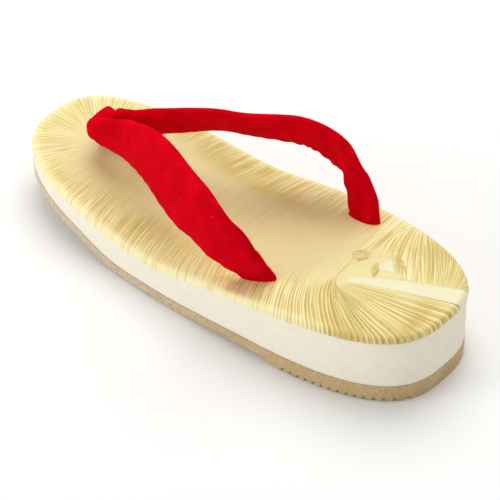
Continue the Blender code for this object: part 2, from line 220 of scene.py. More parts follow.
# Course of the straw strips round the sole, from the heel by the right side, the toe and the
# left side back to the heel, in millimetres. Each row has where a strip meets the rim, where it
# starts, the point that bends it, the strips' pitch, how high they stand, how far they are
# laid as pleats, and the shares of the way at which they begin to show and are full
PITCH, HEIGHT, PLEATED, BEGINS, FULL = range(6, 11)
STRIPS = np.array(
    (
        (17.2, -117.3, 16.6, -114.5, 17.0, -116.0, 2.00, 0.32, 0.7, -0.05, 0.06),
        (26.0, -110.0, 16.2, -113.0, 22.0, -113.2, 1.60, 0.32, 0.7, -0.05, 0.06),
        (33.5, -97.0, 14.4, -108.0, 26.0, -104.0, 1.60, 0.32, 0.7, -0.05, 0.06),
        (38.3, -80.0, 12.2, -102.5, 28.0, -92.0, 1.60, 0.32, 0.6, -0.05, 0.06),
        (39.2, -75.0, 10.2, -97.0, 27.0, -82.0, 1.50, 0.32, 0.6, -0.05, 0.06),
        (39.9, -71.0, 7.2, -86.6, 24.0, -74.5, 1.40, 0.32, 0.6, -0.05, 0.06),
        (40.4, -68.0, 16.9, -75.7, 27.0, -68.5, 1.40, 0.27, 0.5, -0.05, 0.06),
        (40.9, -65.0, 13.0, -68.5, 26.0, -66.0, 1.50, 0.22, 0.4, 0.15, 0.45),
        (41.2, -61.0, 0.0, -62.0, 22.0, -62.5, 1.50, 0.19, 0.3, 0.15, 0.45),
        (41.7, -56.0, 0.0, -55.0, 22.0, -55.0, 1.50, 0.12, 0.2, 0.45, 0.85),
        (42.4, -47.0, 0.0, -45.0, 21.0, -45.5, 1.23, 0.10, 0.2, 0.50, 0.85),
        (43.0, -34.0, 0.0, -31.0, 20.0, -31.0, 1.23, 0.06, 0.2, 0.50, 0.85),
        (43.1, -18.0, 0.0, -13.0, 20.0, -13.0, 1.23, 0.06, 0.2, 0.50, 0.85),
        (43.0, 0.0, 0.0, 7.0, 22.0, 7.0, 1.23, 0.06, 0.2, 0.50, 0.85),
        (42.5, 30.0, 0.0, 35.5, 22.0, 36.0, 1.23, 0.06, 0.2, 0.50, 0.85),
        (40.8, 55.0, 0.0, 60.0, 24.0, 60.0, 1.23, 0.07, 0.2, 0.50, 0.85),
        (36.8, 80.0, 0.0, 78.0, 18.0, 80.0, 1.48, 0.07, 0.2, 0.45, 0.80),
        (30.3, 100.0, 0.0, 86.0, 15.0, 93.0, 1.90, 0.09, 0.2, 0.35, 0.70),
        (19.1, 115.0, 0.0, 90.0, 9.0, 102.0, 2.10, 0.10, 0.2, 0.30, 0.60),
        (0.0, 120.1, 0.0, 92.0, 0.0, 106.0, 2.10, 0.11, 0.2, 0.30, 0.60),
        (-19.1, 115.0, 0.0, 90.0, -9.0, 102.0, 2.10, 0.10, 0.2, 0.30, 0.60),
        (-30.3, 100.0, 0.0, 86.0, -15.0, 93.0, 1.90, 0.08, 0.2, 0.35, 0.70),
        (-36.8, 80.0, 0.0, 78.0, -18.0, 80.0, 1.48, 0.07, 0.2, 0.45, 0.80),
        (-40.8, 55.0, 0.0, 60.0, -24.0, 60.0, 1.23, 0.08, 0.2, 0.35, 0.70),
        (-42.5, 30.0, 0.0, 35.5, -22.0, 36.0, 1.23, 0.08, 0.2, 0.35, 0.70),
        (-43.0, 0.0, 0.0, 9.5, -22.0, 9.5, 1.23, 0.08, 0.2, 0.35, 0.75),
        (-43.1, -20.0, 0.0, -6.5, -22.0, -8.0, 1.23, 0.08, 0.3, 0.35, 0.75),
        (-42.7, -42.0, 0.0, -30.0, -20.0, -30.0, 1.31, 0.11, 0.4, 0.30, 0.65),
        (-41.2, -61.0, 0.0, -45.0, -20.0, -44.0, 1.90, 0.30, 0.6, 0.30, 0.60),
        (-39.0, -76.0, 0.0, -55.0, -21.0, -53.0, 2.20, 0.35, 0.8, 0.30, 0.55),
        (-36.3, -87.0, -3.0, -62.0, -18.0, -61.0, 2.50, 0.41, 1.0, 0.10, 0.35),
        (-32.8, -97.5, -10.0, -65.0, -17.0, -68.0, 2.80, 0.43, 1.0, -0.03, 0.09),
        (-27.2, -108.0, -13.0, -66.5, -18.0, -76.0, 3.00, 0.46, 1.0, -0.03, 0.09),
        (-18.0, -116.0, -12.0, -67.5, -14.0, -85.0, 3.30, 0.49, 1.0, -0.03, 0.09),
        (-5.0, -119.9, -10.5, -68.5, -9.5, -88.0, 3.60, 0.49, 1.0, -0.03, 0.09),
        (8.6, -119.5, -8.1, -70.0, -1.0, -90.0, 3.80, 0.49, 1.0, -0.03, 0.09),
    )
)

# Where the straw is darker or more golden, partly its own riper tone and partly painted shadow
# that the strap halves cast beside them: place, half sizes, turn in degrees, strength
GOLDEN_AND_SHADOW_OVALS = (
    (-27.0, 40.0, 10.0, 34.0, 8.0, 0.80),
    (-12.0, 66.0, 6.0, 14.0, 20.0, 0.45),
    (-33.0, 88.0, 6.0, 12.0, 25.0, 0.45),
    (32.0, 28.0, 10.0, 36.0, 0.0, 1.0),
    (24.0, 0.0, 6.0, 30.0, -6.0, 0.55),
    (-30.0, -5.0, 8.0, 18.0, 0.0, 0.50),
    (-33.0, -92.0, 6.0, 18.0, -35.0, 0.85),
    (-14.0, -112.0, 16.0, 5.0, 8.0, 1.0),
    (9.0, -64.0, 5.0, 4.0, 8.0, 0.6),
    (30.0, -88.0, 8.0, 16.0, 20.0, 0.50),
)
# Painted contact shadow, dark with a red cast, under the left half's rear end: place, half sizes,
# turn in degrees, strength
CONTACT_SHADOW_OVALS = (
    (-35.5, -22.0, 2.6, 5.0, 20.0, 1.0),
    (-35.0, -29.0, 1.6, 3.0, 20.0, 0.7),
)

# Across one strip, as a laid pleat and as a round straw: place, height and how pale, the paleness
# being painted highlight on the crest and painted shade in the groove
PLEAT = np.array(
    (
        (0.00, 0.00, 0.00),
        (0.34, 0.16, 0.12),
        (0.66, 0.44, 0.34),
        (0.84, 1.00, 1.00),
        (0.93, 0.92, 1.00),
    )
)
ROUND_STRAW = np.array(
    (
        (0.00, 0.00, 0.10),
        (0.16, 0.70, 0.55),
        (0.40, 1.00, 0.90),
        (0.64, 0.95, 0.75),
        (0.85, 0.55, 0.30),
    )
)
# How irregular the strips are: their edges, their heights and, in metres, their ragged ends
EDGE_DRIFT = 0.34
HEIGHT_DRIFT = 0.7
RAGGED = 0.00025
# Where a strip turns over the rim: the length of the turn, and the angles that divide it
RIM_SPACE = 0.0027
RIM_ANGLES = (0, 14, 28, 42, 56, 68, 79, 90)
# Levels down the cover's side and how far the strips stand out there, then tucked in below
SKIRT = ((0.35, 0.00010), (0.75, 0.00012), (1.0, 0.0), (1.0, -0.0009))
# Steps round the outline when places on it are looked up
OUTLINE_STEPS = 6000
# A faint ripple in the middle of the right side: its place, and its height and pitch in metres
RIPPLE_SPOTS = ((12.0, 10.0, 16.0, 32.0, 0.0, 1.0),)
RIPPLE = (0.00005, 0.0037)
# The rim's painted highlight, a bright band along it: its width in millimetres, and where it fades
# at the heel, in metres
BRIGHT_RIM = 5.0
BRIGHT_FROM = -0.085
BRIGHT_RUN = 0.02

# How deep the smooth middle lies below the strips' feet
MIDDLE_SUNK = 0.00006

# The flap: its near and far edge from the middle to the heel's rim, in millimetres, and across
# it the place, the height in millimetres and how golden it is, golden at the edges as painted
# shade
FLAP_NEAR = np.array(((-8.4, -69.6), (-1.2, -90.0), (8.2, -119.6))) * MM
FLAP_FAR = np.array(((-4.6, -68.6), (7.2, -86.0), (17.8, -117.0))) * MM
FLAP_SECTION = np.array(
    (
        (0.00, -0.10, 0.75),
        (0.00, 0.30, 0.5625),
        (0.05, 0.42, 0.1875),
        (0.12, 0.48, 0.0),
        (0.30, 0.50, 0.0),
        (0.50, 0.50, 0.0),
        (0.70, 0.50, 0.0),
        (0.88, 0.50, 0.0),
        (0.95, 0.44, 0.1875),
        (1.00, 0.30, 0.5625),
        (1.00, -0.10, 0.75),
    )
)
# The share of its length on which it rises, its width and steps for the course of the fibres,
# and its hem: how far each row hangs below the rim's round and stands out
FLAP_RISE = 0.14
FLAP_WIDTH = 0.009
FLAP_STEP = 0.0013
FLAP_HEM = ((0.0006, 0.0004), (0.0012, 0.0002))

# The end of sheath beside the flap: its corners, how high it stands, how deep its edge is sunk
# into the cover, and its rows of points
SHEATH_CORNERS = np.array(((5.6, -73.2), (17.2, -75.4), (8.6, -84.6))) * MM
SHEATH_RISE = 0.00045
SHEATH_SUNK = 0.00008
SHEATH_ROWS = 14

# The knot: middle and half sizes in millimetres, and how many short straws it has
KNOT = (9.9, -62.6)
KNOT_SIZE = (3.2, 3.9)
KNOT_STRAWS = 90
# Rows of loose straws: how many, radius, then low end, bend and high end of the first one, and
# the step to the next one, all in millimetres across, ahead and up
LOOSE_ROWS = (
    (
        (5, 0.33),
        ((1.4, -77.4, 0.35), (3.6, -74.8, 0.75), (6.0, -72.6, 0.25)),
        ((1.0, 0.3, 0.0), (1.0, 0.2, 0.0), (0.9, 0.2, 0.0)),
    ),
    (
        (3, 0.34),
        ((9.0, -85.8, 0.1), (14.6, -81.0, 0.35), (18.2, -75.0, 0.0)),
        ((0.9, -1.1, 0.0), (0.7, -0.8, 0.0), (0.9, -0.4, 0.0)),
    ),
    ((1, 0.12), ((-14.0, -64.8, -0.1), (-3.0, -61.6, 0.10), (8.0, -62.2, 0.0)), ((0, 0, 0),) * 3),
)

# The stage, in metres
FLOOR_HALF = 4.0
KEY_PLACE = (0.50, 0.25, 1.15)
FILL_PLACE = (-1.15, 0.75, 0.55)
LAMP_AIM = (0.0, 0.0, 0.02)


def colour_property(name, description, default):
    """A colour that the user can change."""
    return FloatVectorProperty(
        name=name, description=description, default=default, subtype="COLOR", min=0.0, max=1.0
    )


def angle_property(name, description, degrees):
    """An angle that the user can change."""
    return FloatProperty(
        name=name, description=description, default=math.radians(degrees), subtype="ANGLE"
    )


class StrawSettings(PropertyGroup):
    """Sizes and colours of the plaited straw."""

    relief: FloatProperty(
        name="Relief", description="How high the strips stand", default=1.0, min=0.0, max=3.0
    )
    rows: IntProperty(
        name="Rows", description="Steps along each strip", default=26, min=8, max=60
    )
    # Pale also paints the highlight on the strips' crests, along the rim and in glints
    pale: colour_property("Pale", "Colour of the strips' crests", (0.98, 0.90, 0.50))
    middle: colour_property("Straw", "Colour of most of the straw", (0.80, 0.655, 0.23))
    # Golden is the riper straw's tone and also painted shade in the grooves, the strap halves'
    # cast shadows and the contact spots, and along the flap's edges
    golden: colour_property(
        "Golden", "Colour of the grooves and riper strips", (0.56, 0.38, 0.055)
    )
    cream: colour_property("Cream", "Colour of the smooth middle", (0.84, 0.76, 0.37))
    sheath: colour_property("Sheath", "Colour of the smooth pale flap", (0.84, 0.81, 0.58))


class VelvetSettings(PropertyGroup):
    """Sizes and colours of the padded straps."""

    red: colour_property("Red", "Colour of the velvet", (0.74, 0.0, 0.009))
    # The shade colour is a darker copy of the red, laid on as painted shade
    painted_shade: colour_property(
        "Shade", "Colour of the velvet where the nap lies over", (0.56, 0.0, 0.006)
    )
    lint: colour_property("Lint", "Colour of the flecks on the velvet", (0.80, 0.18, 0.16))
    pucker: FloatProperty(
        name="Pucker",
        description="Depth of the gathers along the seam",
        default=0.0010,
        min=0.0,
        max=0.002,
        unit="LENGTH",
        precision=5,
    )
    fill: FloatProperty(
        name="Fill", description="How tight the padding is", default=0.7, min=0.0, max=1.0
    )


class SoleSettings(PropertyGroup):
    """Colours of the sponge wedge and the rubber."""

    sponge: colour_property("Sponge", "Colour of the wedge", (0.92, 0.865, 0.715))
    rubber: colour_property("Rubber", "Colour of the rubber", (0.55, 0.395, 0.205))
    lip: FloatProperty(
        name="Lip",
        description="How far the rubber stands out from the wedge",
        default=0.00025,
        min=0.0,
        max=0.001,
        unit="LENGTH",
        precision=5,
    )


class StageSettings(PropertyGroup):
    """Camera, lights and floor."""

    azimuth: angle_property("Azimuth", "Turn of the camera from straight behind the heel", -48.56)
    elevation: angle_property("Elevation", "Height angle of the camera", 42.0)
    roll: angle_property("Roll", "Tilt of the camera about its own line", -1.68)
    distance: FloatProperty(
        name="Distance",
        description="From the camera to the point it looks at",
        default=1.46939,
        unit="LENGTH",
        min=0.3,
        max=5.0,
    )
    target: FloatVectorProperty(
        name="Target",
        description="The point that the camera looks at",
        default=(0.03642, -0.01691, 0.01469),
        subtype="XYZ",
        unit="LENGTH",
        precision=5,
    )
    aside: FloatProperty(
        name="Aside",
        description="Pan of the camera to the sandal, as a tangent",
        default=-0.0228,
        precision=5,
    )
    below: FloatProperty(
        name="Below",
        description="Tilt of the camera to the sandal, as a tangent",
        default=-0.0105,
        precision=5,
    )
    lens: FloatProperty(
        name="Lens", description="Focal length in millimetres", default=228.2, min=20, max=400
    )
    floor: colour_property("Floor", "Colour of the floor", (0.96, 0.96, 0.955))
    sky: FloatProperty(
        name="Sky", description="Strength of the even light", default=0.56, min=0.0, max=5.0
    )
    key: FloatProperty(
        name="Key", description="Power of the large lamp", default=9.4, min=0.0, max=500.0
    )
    fill: FloatProperty(
        name="Fill", description="Power of the lamp at the left", default=7.2, min=0.0, max=500.0
    )


def smooth_rows(rows, places):
    """The other columns of a table at these places, on curves that don't overshoot the rows."""
    x = rows[:, 0]
    rise = np.diff(rows[:, 1:], axis=0) / np.diff(x)[:, None]
    low = rise[:-1]
    high = rise[1:]
    even = low * high > 0.0
    slopes = np.zeros((len(rows), rows.shape[1] - 1))
    slopes[1:-1] = np.where(even, 2.0 * low * high / np.where(even, low + high, 1.0), 0.0)
    slopes[0] = rise[0]
    slopes[-1] = rise[-1]
    places = np.clip(np.asarray(places, float), x[0], x[-1])
    index = np.clip(np.searchsorted(x, places) - 1, 0, len(x) - 2)
    step = (x[index + 1] - x[index])[..., None]
    t = (places - x[index])[..., None] / step
    start = rows[index, 1:]
    end = rows[index + 1, 1:]
    return (
        start * (2 * t**3 - 3 * t**2 + 1)
        + slopes[index] * step * (t**3 - 2 * t**2 + t)
        + end * (3 * t**2 - 2 * t**3)
        + slopes[index + 1] * step * (t**3 - t**2)
    )


def share(y):
    """Share of the length from the heel to y."""
    return np.asarray(y, float) / LENGTH + 0.5


def place_y(along):
    """The y at a share of the length from the heel."""
    return (along - 0.5) * LENGTH


def fullness(y):
    """Power of the oval at this end, larger for a squarer one."""
    return np.where(np.asarray(y) > 0.0, TOE_FULLNESS, HEEL_FULLNESS)


def reach(y):
    """Half length of the whole oval at this end."""
    return LENGTH / 2 / math.cos(math.radians(END_ANGLE)) ** (2.0 / fullness(y))


def flare(y):
    """How much wider or narrower the sole is here than in its middle."""
    return 1.0 - HEEL_FLARE_SHARE * np.asarray(y) / (LENGTH / 2)


def half_width(y):
    """Half of the sole's width at y."""
    n = fullness(y)
    v = np.minimum(np.abs(y) / reach(y), 1.0)
    return WIDTH / 2 * flare(y) * (1.0 - v**n) ** (1.0 / n)


def edge_distance(x, y):
    """About how far a point is inside the outline, and the way out of it."""
    n = fullness(y)
    a = WIDTH / 2 * flare(y)
    b = reach(y)
    u = np.abs(x) / a
    v = np.abs(y) / b
    out_x = n * u ** (n - 1) / a * np.sign(x)
    out_y = n * v ** (n - 1) / b * np.sign(y)
    steep = np.maximum(np.hypot(out_x, out_y), 1.0 / a)
    return (1.0 - u**n - v**n) / steep, np.stack((out_x, out_y), -1) / steep[..., None]


def seat(y):
    """Height of the wedge's top."""
    heel, toe = np.moveaxis(smooth_rows(SEAT, share(y)), -1, 0)
    return WAIST_HEIGHT + heel * (HEEL_HEIGHT - WAIST_HEIGHT) + toe * (TOE_HEIGHT - WAIST_HEIGHT)


def cover_top(y):
    """Height of the cover's top, without its strips."""
    return seat(y) + COVER


def rubber_top(y):
    """Height of the rubber's top, on which the wedge lies."""
    heel, shank, toe = np.moveaxis(smooth_rows(RUBBER_TOP, share(y)), -1, 0)
    return RUBBER + heel * (HEEL_BLOCK - RUBBER) + shank * SHANK_LIFT + toe * TOE_SPRING


def groove(y, start, pitch, land):
    """Depth share of the groove at y, nothing on a rib's land."""
    phase = ((y - start) / pitch) % 1.0
    slope = 1.0 - np.abs(2.0 * (phase - land) / (1.0 - land) - 1.0)
    return np.where(phase <= land, 0.0, slope)


def tread(y):
    """Height of the rubber's underside, with its ribs."""
    y = np.asarray(y, float)
    shank, toe = np.moveaxis(smooth_rows(UNDERSIDE, share(y)), -1, 0)
    ahead = shank * SHANK_LIFT + toe * TOE_SPRING
    height = ahead * np.clip((y - place_y(BREAST_SHARE)) / BREAST_SLOPE, 0.0, 1.0)
    for start, end, pitch, depth, land in tread_ribs():
        whole = start + int((end - start) / pitch) * pitch
        ribbed = (y >= start) & (y <= whole)
        height = height + np.where(ribbed, depth * groove(y, start, pitch, land), 0.0)
    return height


def tread_ribs():
    """First and last place, pitch, depth and land share of each set of ribs."""
    heel_start = -LENGTH / 2 + HEEL_RIB_PITCH / 2
    heel_end = place_y(BREAST_SHARE) - HEEL_RIB_PITCH / 2
    front_start, front_end = (place_y(along) for along in FRONT_RIBS)
    return (
        (heel_start, heel_end, HEEL_RIB_PITCH, HEEL_RIB_DEPTH, HEEL_LAND_SHARE),
        (front_start, front_end, FRONT_RIB_PITCH, FRONT_RIB_DEPTH, FRONT_LAND_SHARE),
    )


def outline_points(count):
    """Points round the outline, from the heel's middle by the right side."""
    turn = np.linspace(0.0, 2.0 * math.pi, count + 1)
    ahead = -np.cos(turn)
    n = fullness(ahead)
    y = np.sign(ahead) * reach(ahead) * np.abs(ahead) ** (2.0 / n)
    across = np.sin(turn)
    x = np.sign(across) * WIDTH / 2 * flare(y) * np.abs(across) ** (2.0 / n)
    return np.stack((x, y), -1)


def sole_places(extra, steps):
    """Places along the sole, closer together at its round ends."""
    turn = np.linspace(0.0, math.pi, steps)
    ahead = -np.cos(turn)
    ends = np.sign(ahead) * reach(ahead) * np.abs(ahead) ** (2.0 / fullness(ahead))
    places = sorted(extra)
    for y in ends:
        if all(abs(y - other) > 0.0003 for other in extra):
            places.append(y)
    return np.array(sorted(places))


def new_mesh_piece(name, points, faces, smooth_angle=180.0):
    """A smooth mesh in the scene, with sharp edges above an angle in degrees."""
    mesh = bpy.data.meshes.new(name)
    mesh.from_pydata([tuple(point) for point in points], [], [tuple(face) for face in faces])
    mesh.validate()
    mesh.update()
    mesh.shade_smooth()
    if smooth_angle < 180.0:
        mesh.set_sharp_from_angle(angle=math.radians(smooth_angle))
    piece = bpy.data.objects.new(name, mesh)
    bpy.context.scene.collection.objects.link(piece)
    return piece


def grid_faces(rows, columns, closed=False):
    """Faces of a grid of points that is stored row by row."""
    faces = []
    wrap = columns if closed else columns - 1
    for row in range(rows - 1):
        for column in range(wrap):
            after = (column + 1) % columns
            here = row * columns
            there = here + columns
            faces.append((here + column, here + after, there + after, there + column))
    return faces


def finish_piece(piece, made, slot, *nodes):
    """Gives a piece its material and its place in the frame."""
    piece.data.materials.clear()
    piece.data.materials.append(made)
    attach(piece, BODY)
    if nodes:
        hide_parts(*nodes)


def remove_piece(name):
    """Removes the piece of an earlier run."""
    old = bpy.data.objects.get(name)
    if old and "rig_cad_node" not in old:
        bpy.data.objects.remove(old, do_unlink=True)


def new_material(name):
    """A fresh material, its node tree and its shader."""
    old = bpy.data.materials.get(name)
    if old:
        bpy.data.materials.remove(old)
    made = bpy.data.materials.new(name)
    made.use_nodes = True
    return made, made.node_tree, made.node_tree.nodes["Principled BSDF"]


def add_node(tree, kind, **values):
    """A new node with these values set on it."""
    node = tree.nodes.new(kind)
    for name, value in values.items():
        setattr(node, name, value)
    return node


def noise_node(tree, vector, scale, detail=3.0, roughness=0.55):
    """A socket of noise at these coordinates."""
    node = add_node(tree, "ShaderNodeTexNoise")
    node.inputs["Scale"].default_value = scale
    node.inputs["Detail"].default_value = detail
    node.inputs["Roughness"].default_value = roughness
    tree.links.new(vector, node.inputs["Vector"])
    return node.outputs[0]


def stretched(tree, vector, scale):
    """The coordinates, scaled along each axis."""
    node = add_node(tree, "ShaderNodeMapping")
    node.inputs["Scale"].default_value = scale
    tree.links.new(vector, node.inputs["Vector"])
    return node.outputs[0]


def ranged(tree, value, low, high, start=0.0, end=1.0):
    """The value, spread from low..high to start..end and held there."""
    node = add_node(tree, "ShaderNodeMapRange", clamp=True)
    node.inputs["From Min"].default_value = low
    node.inputs["From Max"].default_value = high
    node.inputs["To Min"].default_value = start
    node.inputs["To Max"].default_value = end
    tree.links.new(value, node.inputs["Value"])
    return node.outputs[0]


def times(tree, first, second):
    """The product of two sockets."""
    node = add_node(tree, "ShaderNodeMath", operation="MULTIPLY")
    tree.links.new(first, node.inputs[0])
    tree.links.new(second, node.inputs[1])
    return node.outputs[0]


def mixed(tree, share_socket, first, second):
    """A mix of two colours, each given as a socket or as red, green and blue."""
    node = add_node(tree, "ShaderNodeMix", data_type="RGBA")
    tree.links.new(share_socket, node.inputs[0])
    for index, colour in ((6, first), (7, second)):
        if isinstance(colour, bpy.types.NodeSocket):
            tree.links.new(colour, node.inputs[index])
        else:
            node.inputs[index].default_value = (*colour, 1.0)
    return node.outputs[2]


def layered(tree, colour, layers):
    """Lays tones over a colour, each by a socket and the range that it is spread over."""
    for socket, limits, tone in layers:
        colour = mixed(tree, ranged(tree, socket, *limits), colour, tone)
    return colour


def finish_material(tree, shader, colour, inputs, bumps):
    """Sets the shader's colour and inputs, and chains bumps of a height, strength and distance."""
    tree.links.new(colour, shader.inputs["Base Color"])
    for name, value in inputs.items():
        if isinstance(value, bpy.types.NodeSocket):
            tree.links.new(value, shader.inputs[name])
        else:
            shader.inputs[name].default_value = value
    before = None
    for height, strength, distance in bumps:
        node = add_node(tree, "ShaderNodeBump")
        node.inputs["Strength"].default_value = strength
        node.inputs["Distance"].default_value = distance
        tree.links.new(height, node.inputs["Height"])
        if before is not None:
            tree.links.new(before, node.inputs["Normal"])
        before = node.outputs[0]
    if before is not None:
        tree.links.new(before, shader.inputs["Normal"])


def straw_tones(tree):
    """Sockets of the crest's painted light and groove shade, the chance, and the ripeness with
    painted shadow stored on the straw, and its fibres' course.
    """
    tones = add_node(tree, "ShaderNodeAttribute", attribute_name="straw")
    parts = add_node(tree, "ShaderNodeSeparateColor")
    tree.links.new(tones.outputs["Color"], parts.inputs[0])
    along = add_node(tree, "ShaderNodeUVMap", uv_map="strips")
    return (*parts.outputs[:3], along.outputs[0])


def straw_material(straw):
    """Satin straw: fibres along each strip, crests paler as painted highlight, grooves golden as
    painted shade, painted glints, and riper places with painted shadow.
    """
    made, tree, shader = new_material("plaited_straw")
    crest_light_and_groove_shade, chance, golden_and_shadow, along = straw_tones(tree)
    smooth = add_node(tree, "ShaderNodeAttribute", attribute_name="smooth_part").outputs["Fac"]
    place = add_node(tree, "ShaderNodeTexCoord").outputs["Object"]
    fibre = noise_node(tree, stretched(tree, along, (3600.0, 90.0, 1.0)), 1.0, 4.0, 0.6)
    streak = noise_node(tree, stretched(tree, along, (1500.0, 40.0, 1.0)), 1.0, 3.0)
    bright = noise_node(tree, stretched(tree, along, (1500.0, 48.0, 1.0)), 1.0, 1.0)
    cloud = noise_node(tree, place, 70.0, 3.0)
    strips = (
        (streak, (0.44, 0.60), straw.pale),
        (streak, (0.46, 0.36, 0.0, 0.6), straw.golden),
        (crest_light_and_groove_shade, (0.05, 0.6, 0.80, 0.0), straw.golden),
        (crest_light_and_groove_shade, (0.6, 0.95, 0.0, 1.0), straw.pale),
        (chance, (0.55, 1.0, 0.0, 0.3), straw.golden),
        (chance, (0.35, 0.0, 0.0, 0.35), straw.pale),
        # Painted glints: pale dashes of bright noise along the strips
        (bright, (0.56, 0.66, 0.0, 0.6), straw.pale),
    )
    colour = layered(tree, straw.middle, strips)
    colour = mixed(tree, smooth, colour, straw.cream)
    # The riper tone and painted shadows, broken up by cloud
    golden_and_shadow_mix = times(tree, golden_and_shadow, ranged(tree, cloud, 0.3, 0.6, 0.55, 1.0))
    colour = mixed(tree, golden_and_shadow_mix, colour, straw.golden)
    colour = layered(tree, colour, ((fibre, (0.25, 0.5, 0.22, 0.0), straw.golden),))
    # Painted glints again: pale dashes, fewer on the smooth straw
    dashes = ranged(tree, bright, 0.58, 0.68)
    shine = times(tree, dashes, ranged(tree, smooth, 0.0, 0.8, 0.5, 0.15))
    colour = mixed(tree, shine, colour, straw.pale)
    inputs = {
        "Roughness": ranged(tree, fibre, 0.3, 0.7, 0.62, 0.42),
        "Specular IOR Level": 0.42,
        "Sheen Weight": 0.04,
    }
    bumps = ((fibre, 0.45, 0.00012), (streak, 0.45, 0.00025))
    finish_material(tree, shader, colour, inputs, bumps)
    return made


def sheath_material(straw):
    """The smooth pale sheath of the flap, with faint fibres, and golden edges as painted shade."""
    made, tree, shader = new_material("pale_sheath")
    _, _, golden_and_shadow, along = straw_tones(tree)
    fibre = noise_node(tree, stretched(tree, along, (2600.0, 60.0, 1.0)), 1.0, 4.0, 0.6)
    cloud = noise_node(tree, stretched(tree, along, (300.0, 40.0, 1.0)), 1.0, 2.0)
    layers = (
        (cloud, (0.4, 0.7, 0.0, 0.5), straw.cream),
        (fibre, (0.30, 0.50, 0.30, 0.0), straw.middle),
    )
    colour = mixed(tree, golden_and_shadow, layered(tree, straw.sheath, layers), straw.golden)
    inputs = {
        "Roughness": ranged(tree, fibre, 0.3, 0.7, 0.60, 0.40),
        "Specular IOR Level": 0.45,
    }
    finish_material(tree, shader, colour, inputs, ((fibre, 0.35, 0.00010),))
    return made


def velvet_material(velvet):
    """Red velvet: its red and a darker copy as painted shade, mixed in soft patches and a fine
    nap, and a few light flecks of lint.
    """
    made, tree, shader = new_material("red_velvet_nap")
    place = add_node(tree, "ShaderNodeTexCoord").outputs["Object"]
    patch = noise_node(tree, place, 120.0, 3.0)
    nap = noise_node(tree, place, 2600.0, 2.0, 0.7)
    grain = noise_node(tree, stretched(tree, place, (900.0, 500.0, 900.0)), 1.0, 2.0)
    flecks = noise_node(tree, place, 800.0, 1.0, 0.4)
    # Painted shade: the darker copy of the red in soft patches and in the fine nap
    layers = (
        (patch, (0.35, 0.68), velvet.red),
        (nap, (0.35, 0.65, 0.30, 0.0), velvet.painted_shade),
        (flecks, (0.76, 0.80, 0.0, 0.35), velvet.lint),
    )
    inputs = {
        "Roughness": 0.88,
        "Specular IOR Level": 0.02,
        "Sheen Weight": 0.18,
        "Sheen Roughness": 0.45,
        "Sheen Tint": (1.0, 0.0, 0.03, 1.0),
    }
    bumps = ((nap, 0.5, 0.00015), (grain, 0.25, 0.0003))
    finish_material(tree, shader, layered(tree, velvet.painted_shade, layers), inputs, bumps)
    return made


def sponge_material(sole):
    """Matt sponge with fine cells and faint clouds."""
    made, tree, shader = new_material("fine_sponge")
    place = add_node(tree, "ShaderNodeTexCoord").outputs["Object"]
    cells = noise_node(tree, place, 900.0, 3.0, 0.7)
    cloud = noise_node(tree, place, 90.0, 3.0)
    dark = [value * 0.82 for value in sole.sponge]
    layers = (
        (cells, (0.30, 0.52, 0.45, 0.0), dark),
        (cloud, (0.35, 0.65, 0.18, 0.0), dark),
    )
    inputs = {"Roughness": 0.9, "Specular IOR Level": 0.2}
    colour = layered(tree, sole.sponge, layers)
    finish_material(tree, shader, colour, inputs, ((cells, 0.35, 0.0002),))
    return made


def rubber_material(sole):
    """Matt tan rubber with a grainy skin, paler from the shank forward, partly its own greyer tone
    and partly painted light, the heel darker as painted shade.
    """
    made, tree, shader = new_material("tan_crepe_rubber")
    place = add_node(tree, "ShaderNodeTexCoord").outputs["Object"]
    parts = add_node(tree, "ShaderNodeSeparateXYZ")
    tree.links.new(place, parts.inputs[0])
    grain = noise_node(tree, place, 800.0, 3.0, 0.75)
    cloud = noise_node(tree, place, 60.0, 3.0)
    dark = [value * 0.70 for value in sole.rubber]
    light = [min(value * 1.18, 1.0) for value in sole.rubber]
    pale = [0.45 + value * 0.55 for value in sole.rubber]
    layers = (
        (cloud, (0.3, 0.7), light),
        # Painted light: paler from the shank forward, over the rubber's own greyer tone there
        (parts.outputs[1], (-0.055, 0.05, 0.0, 0.55), pale),
        (grain, (0.30, 0.56, 0.85, 0.0), dark),
    )
    inputs = {"Roughness": 0.78, "Specular IOR Level": 0.25}
    colour = layered(tree, sole.rubber, layers)
    finish_material(tree, shader, colour, inputs, ((grain, 0.4, 0.0002),))
    return made


def floor_material(stage):
    """Plain matt floor."""
    made, tree, shader = new_material("studio_floor")
    place = add_node(tree, "ShaderNodeTexCoord").outputs["Object"]
    dark = [value * 0.985 for value in stage.floor]
    colour = mixed(tree, noise_node(tree, place, 3.0, 2.0), stage.floor, dark)
    inputs = {"Roughness": 0.9, "Specular IOR Level": 0.1}
    finish_material(tree, shader, colour, inputs, ())
    return made


def tapered(points):
    """The sole's layers drawn in a little below the rim at the back of the heel."""
    points = np.array(points, float)
    back = np.clip((HEEL_TAPER_FROM - points[:, 1]) / HEEL_TAPER_RUN, 0.0, 1.0) ** 1.5
    deep = np.clip(1.0 - points[:, 2] / HEEL_HEIGHT, 0.0, 1.0)
    points[:, 1] += HEEL_TAPER * back * deep
    points[:, 0] *= 1.0 - HEEL_NARROWING * back * deep
    return points


def section_skin(rings):
    """Points and faces of a skin through rings of points, closed at both ends."""
    rows, columns = len(rings), len(rings[0])
    faces = grid_faces(rows, columns, closed=True)
    faces.append(tuple(range(columns))[::-1])
    faces.append(tuple((rows - 1) * columns + index for index in range(columns)))
    return np.concatenate(rings), faces


def both_sides(side, y):
    """A section's points on the right, given as x and z, and the same ones on the left."""
    right = [(x, y, z) for x, z in side]
    left = [(-x, y, z) for x, z in side[::-1]]
    return right + left


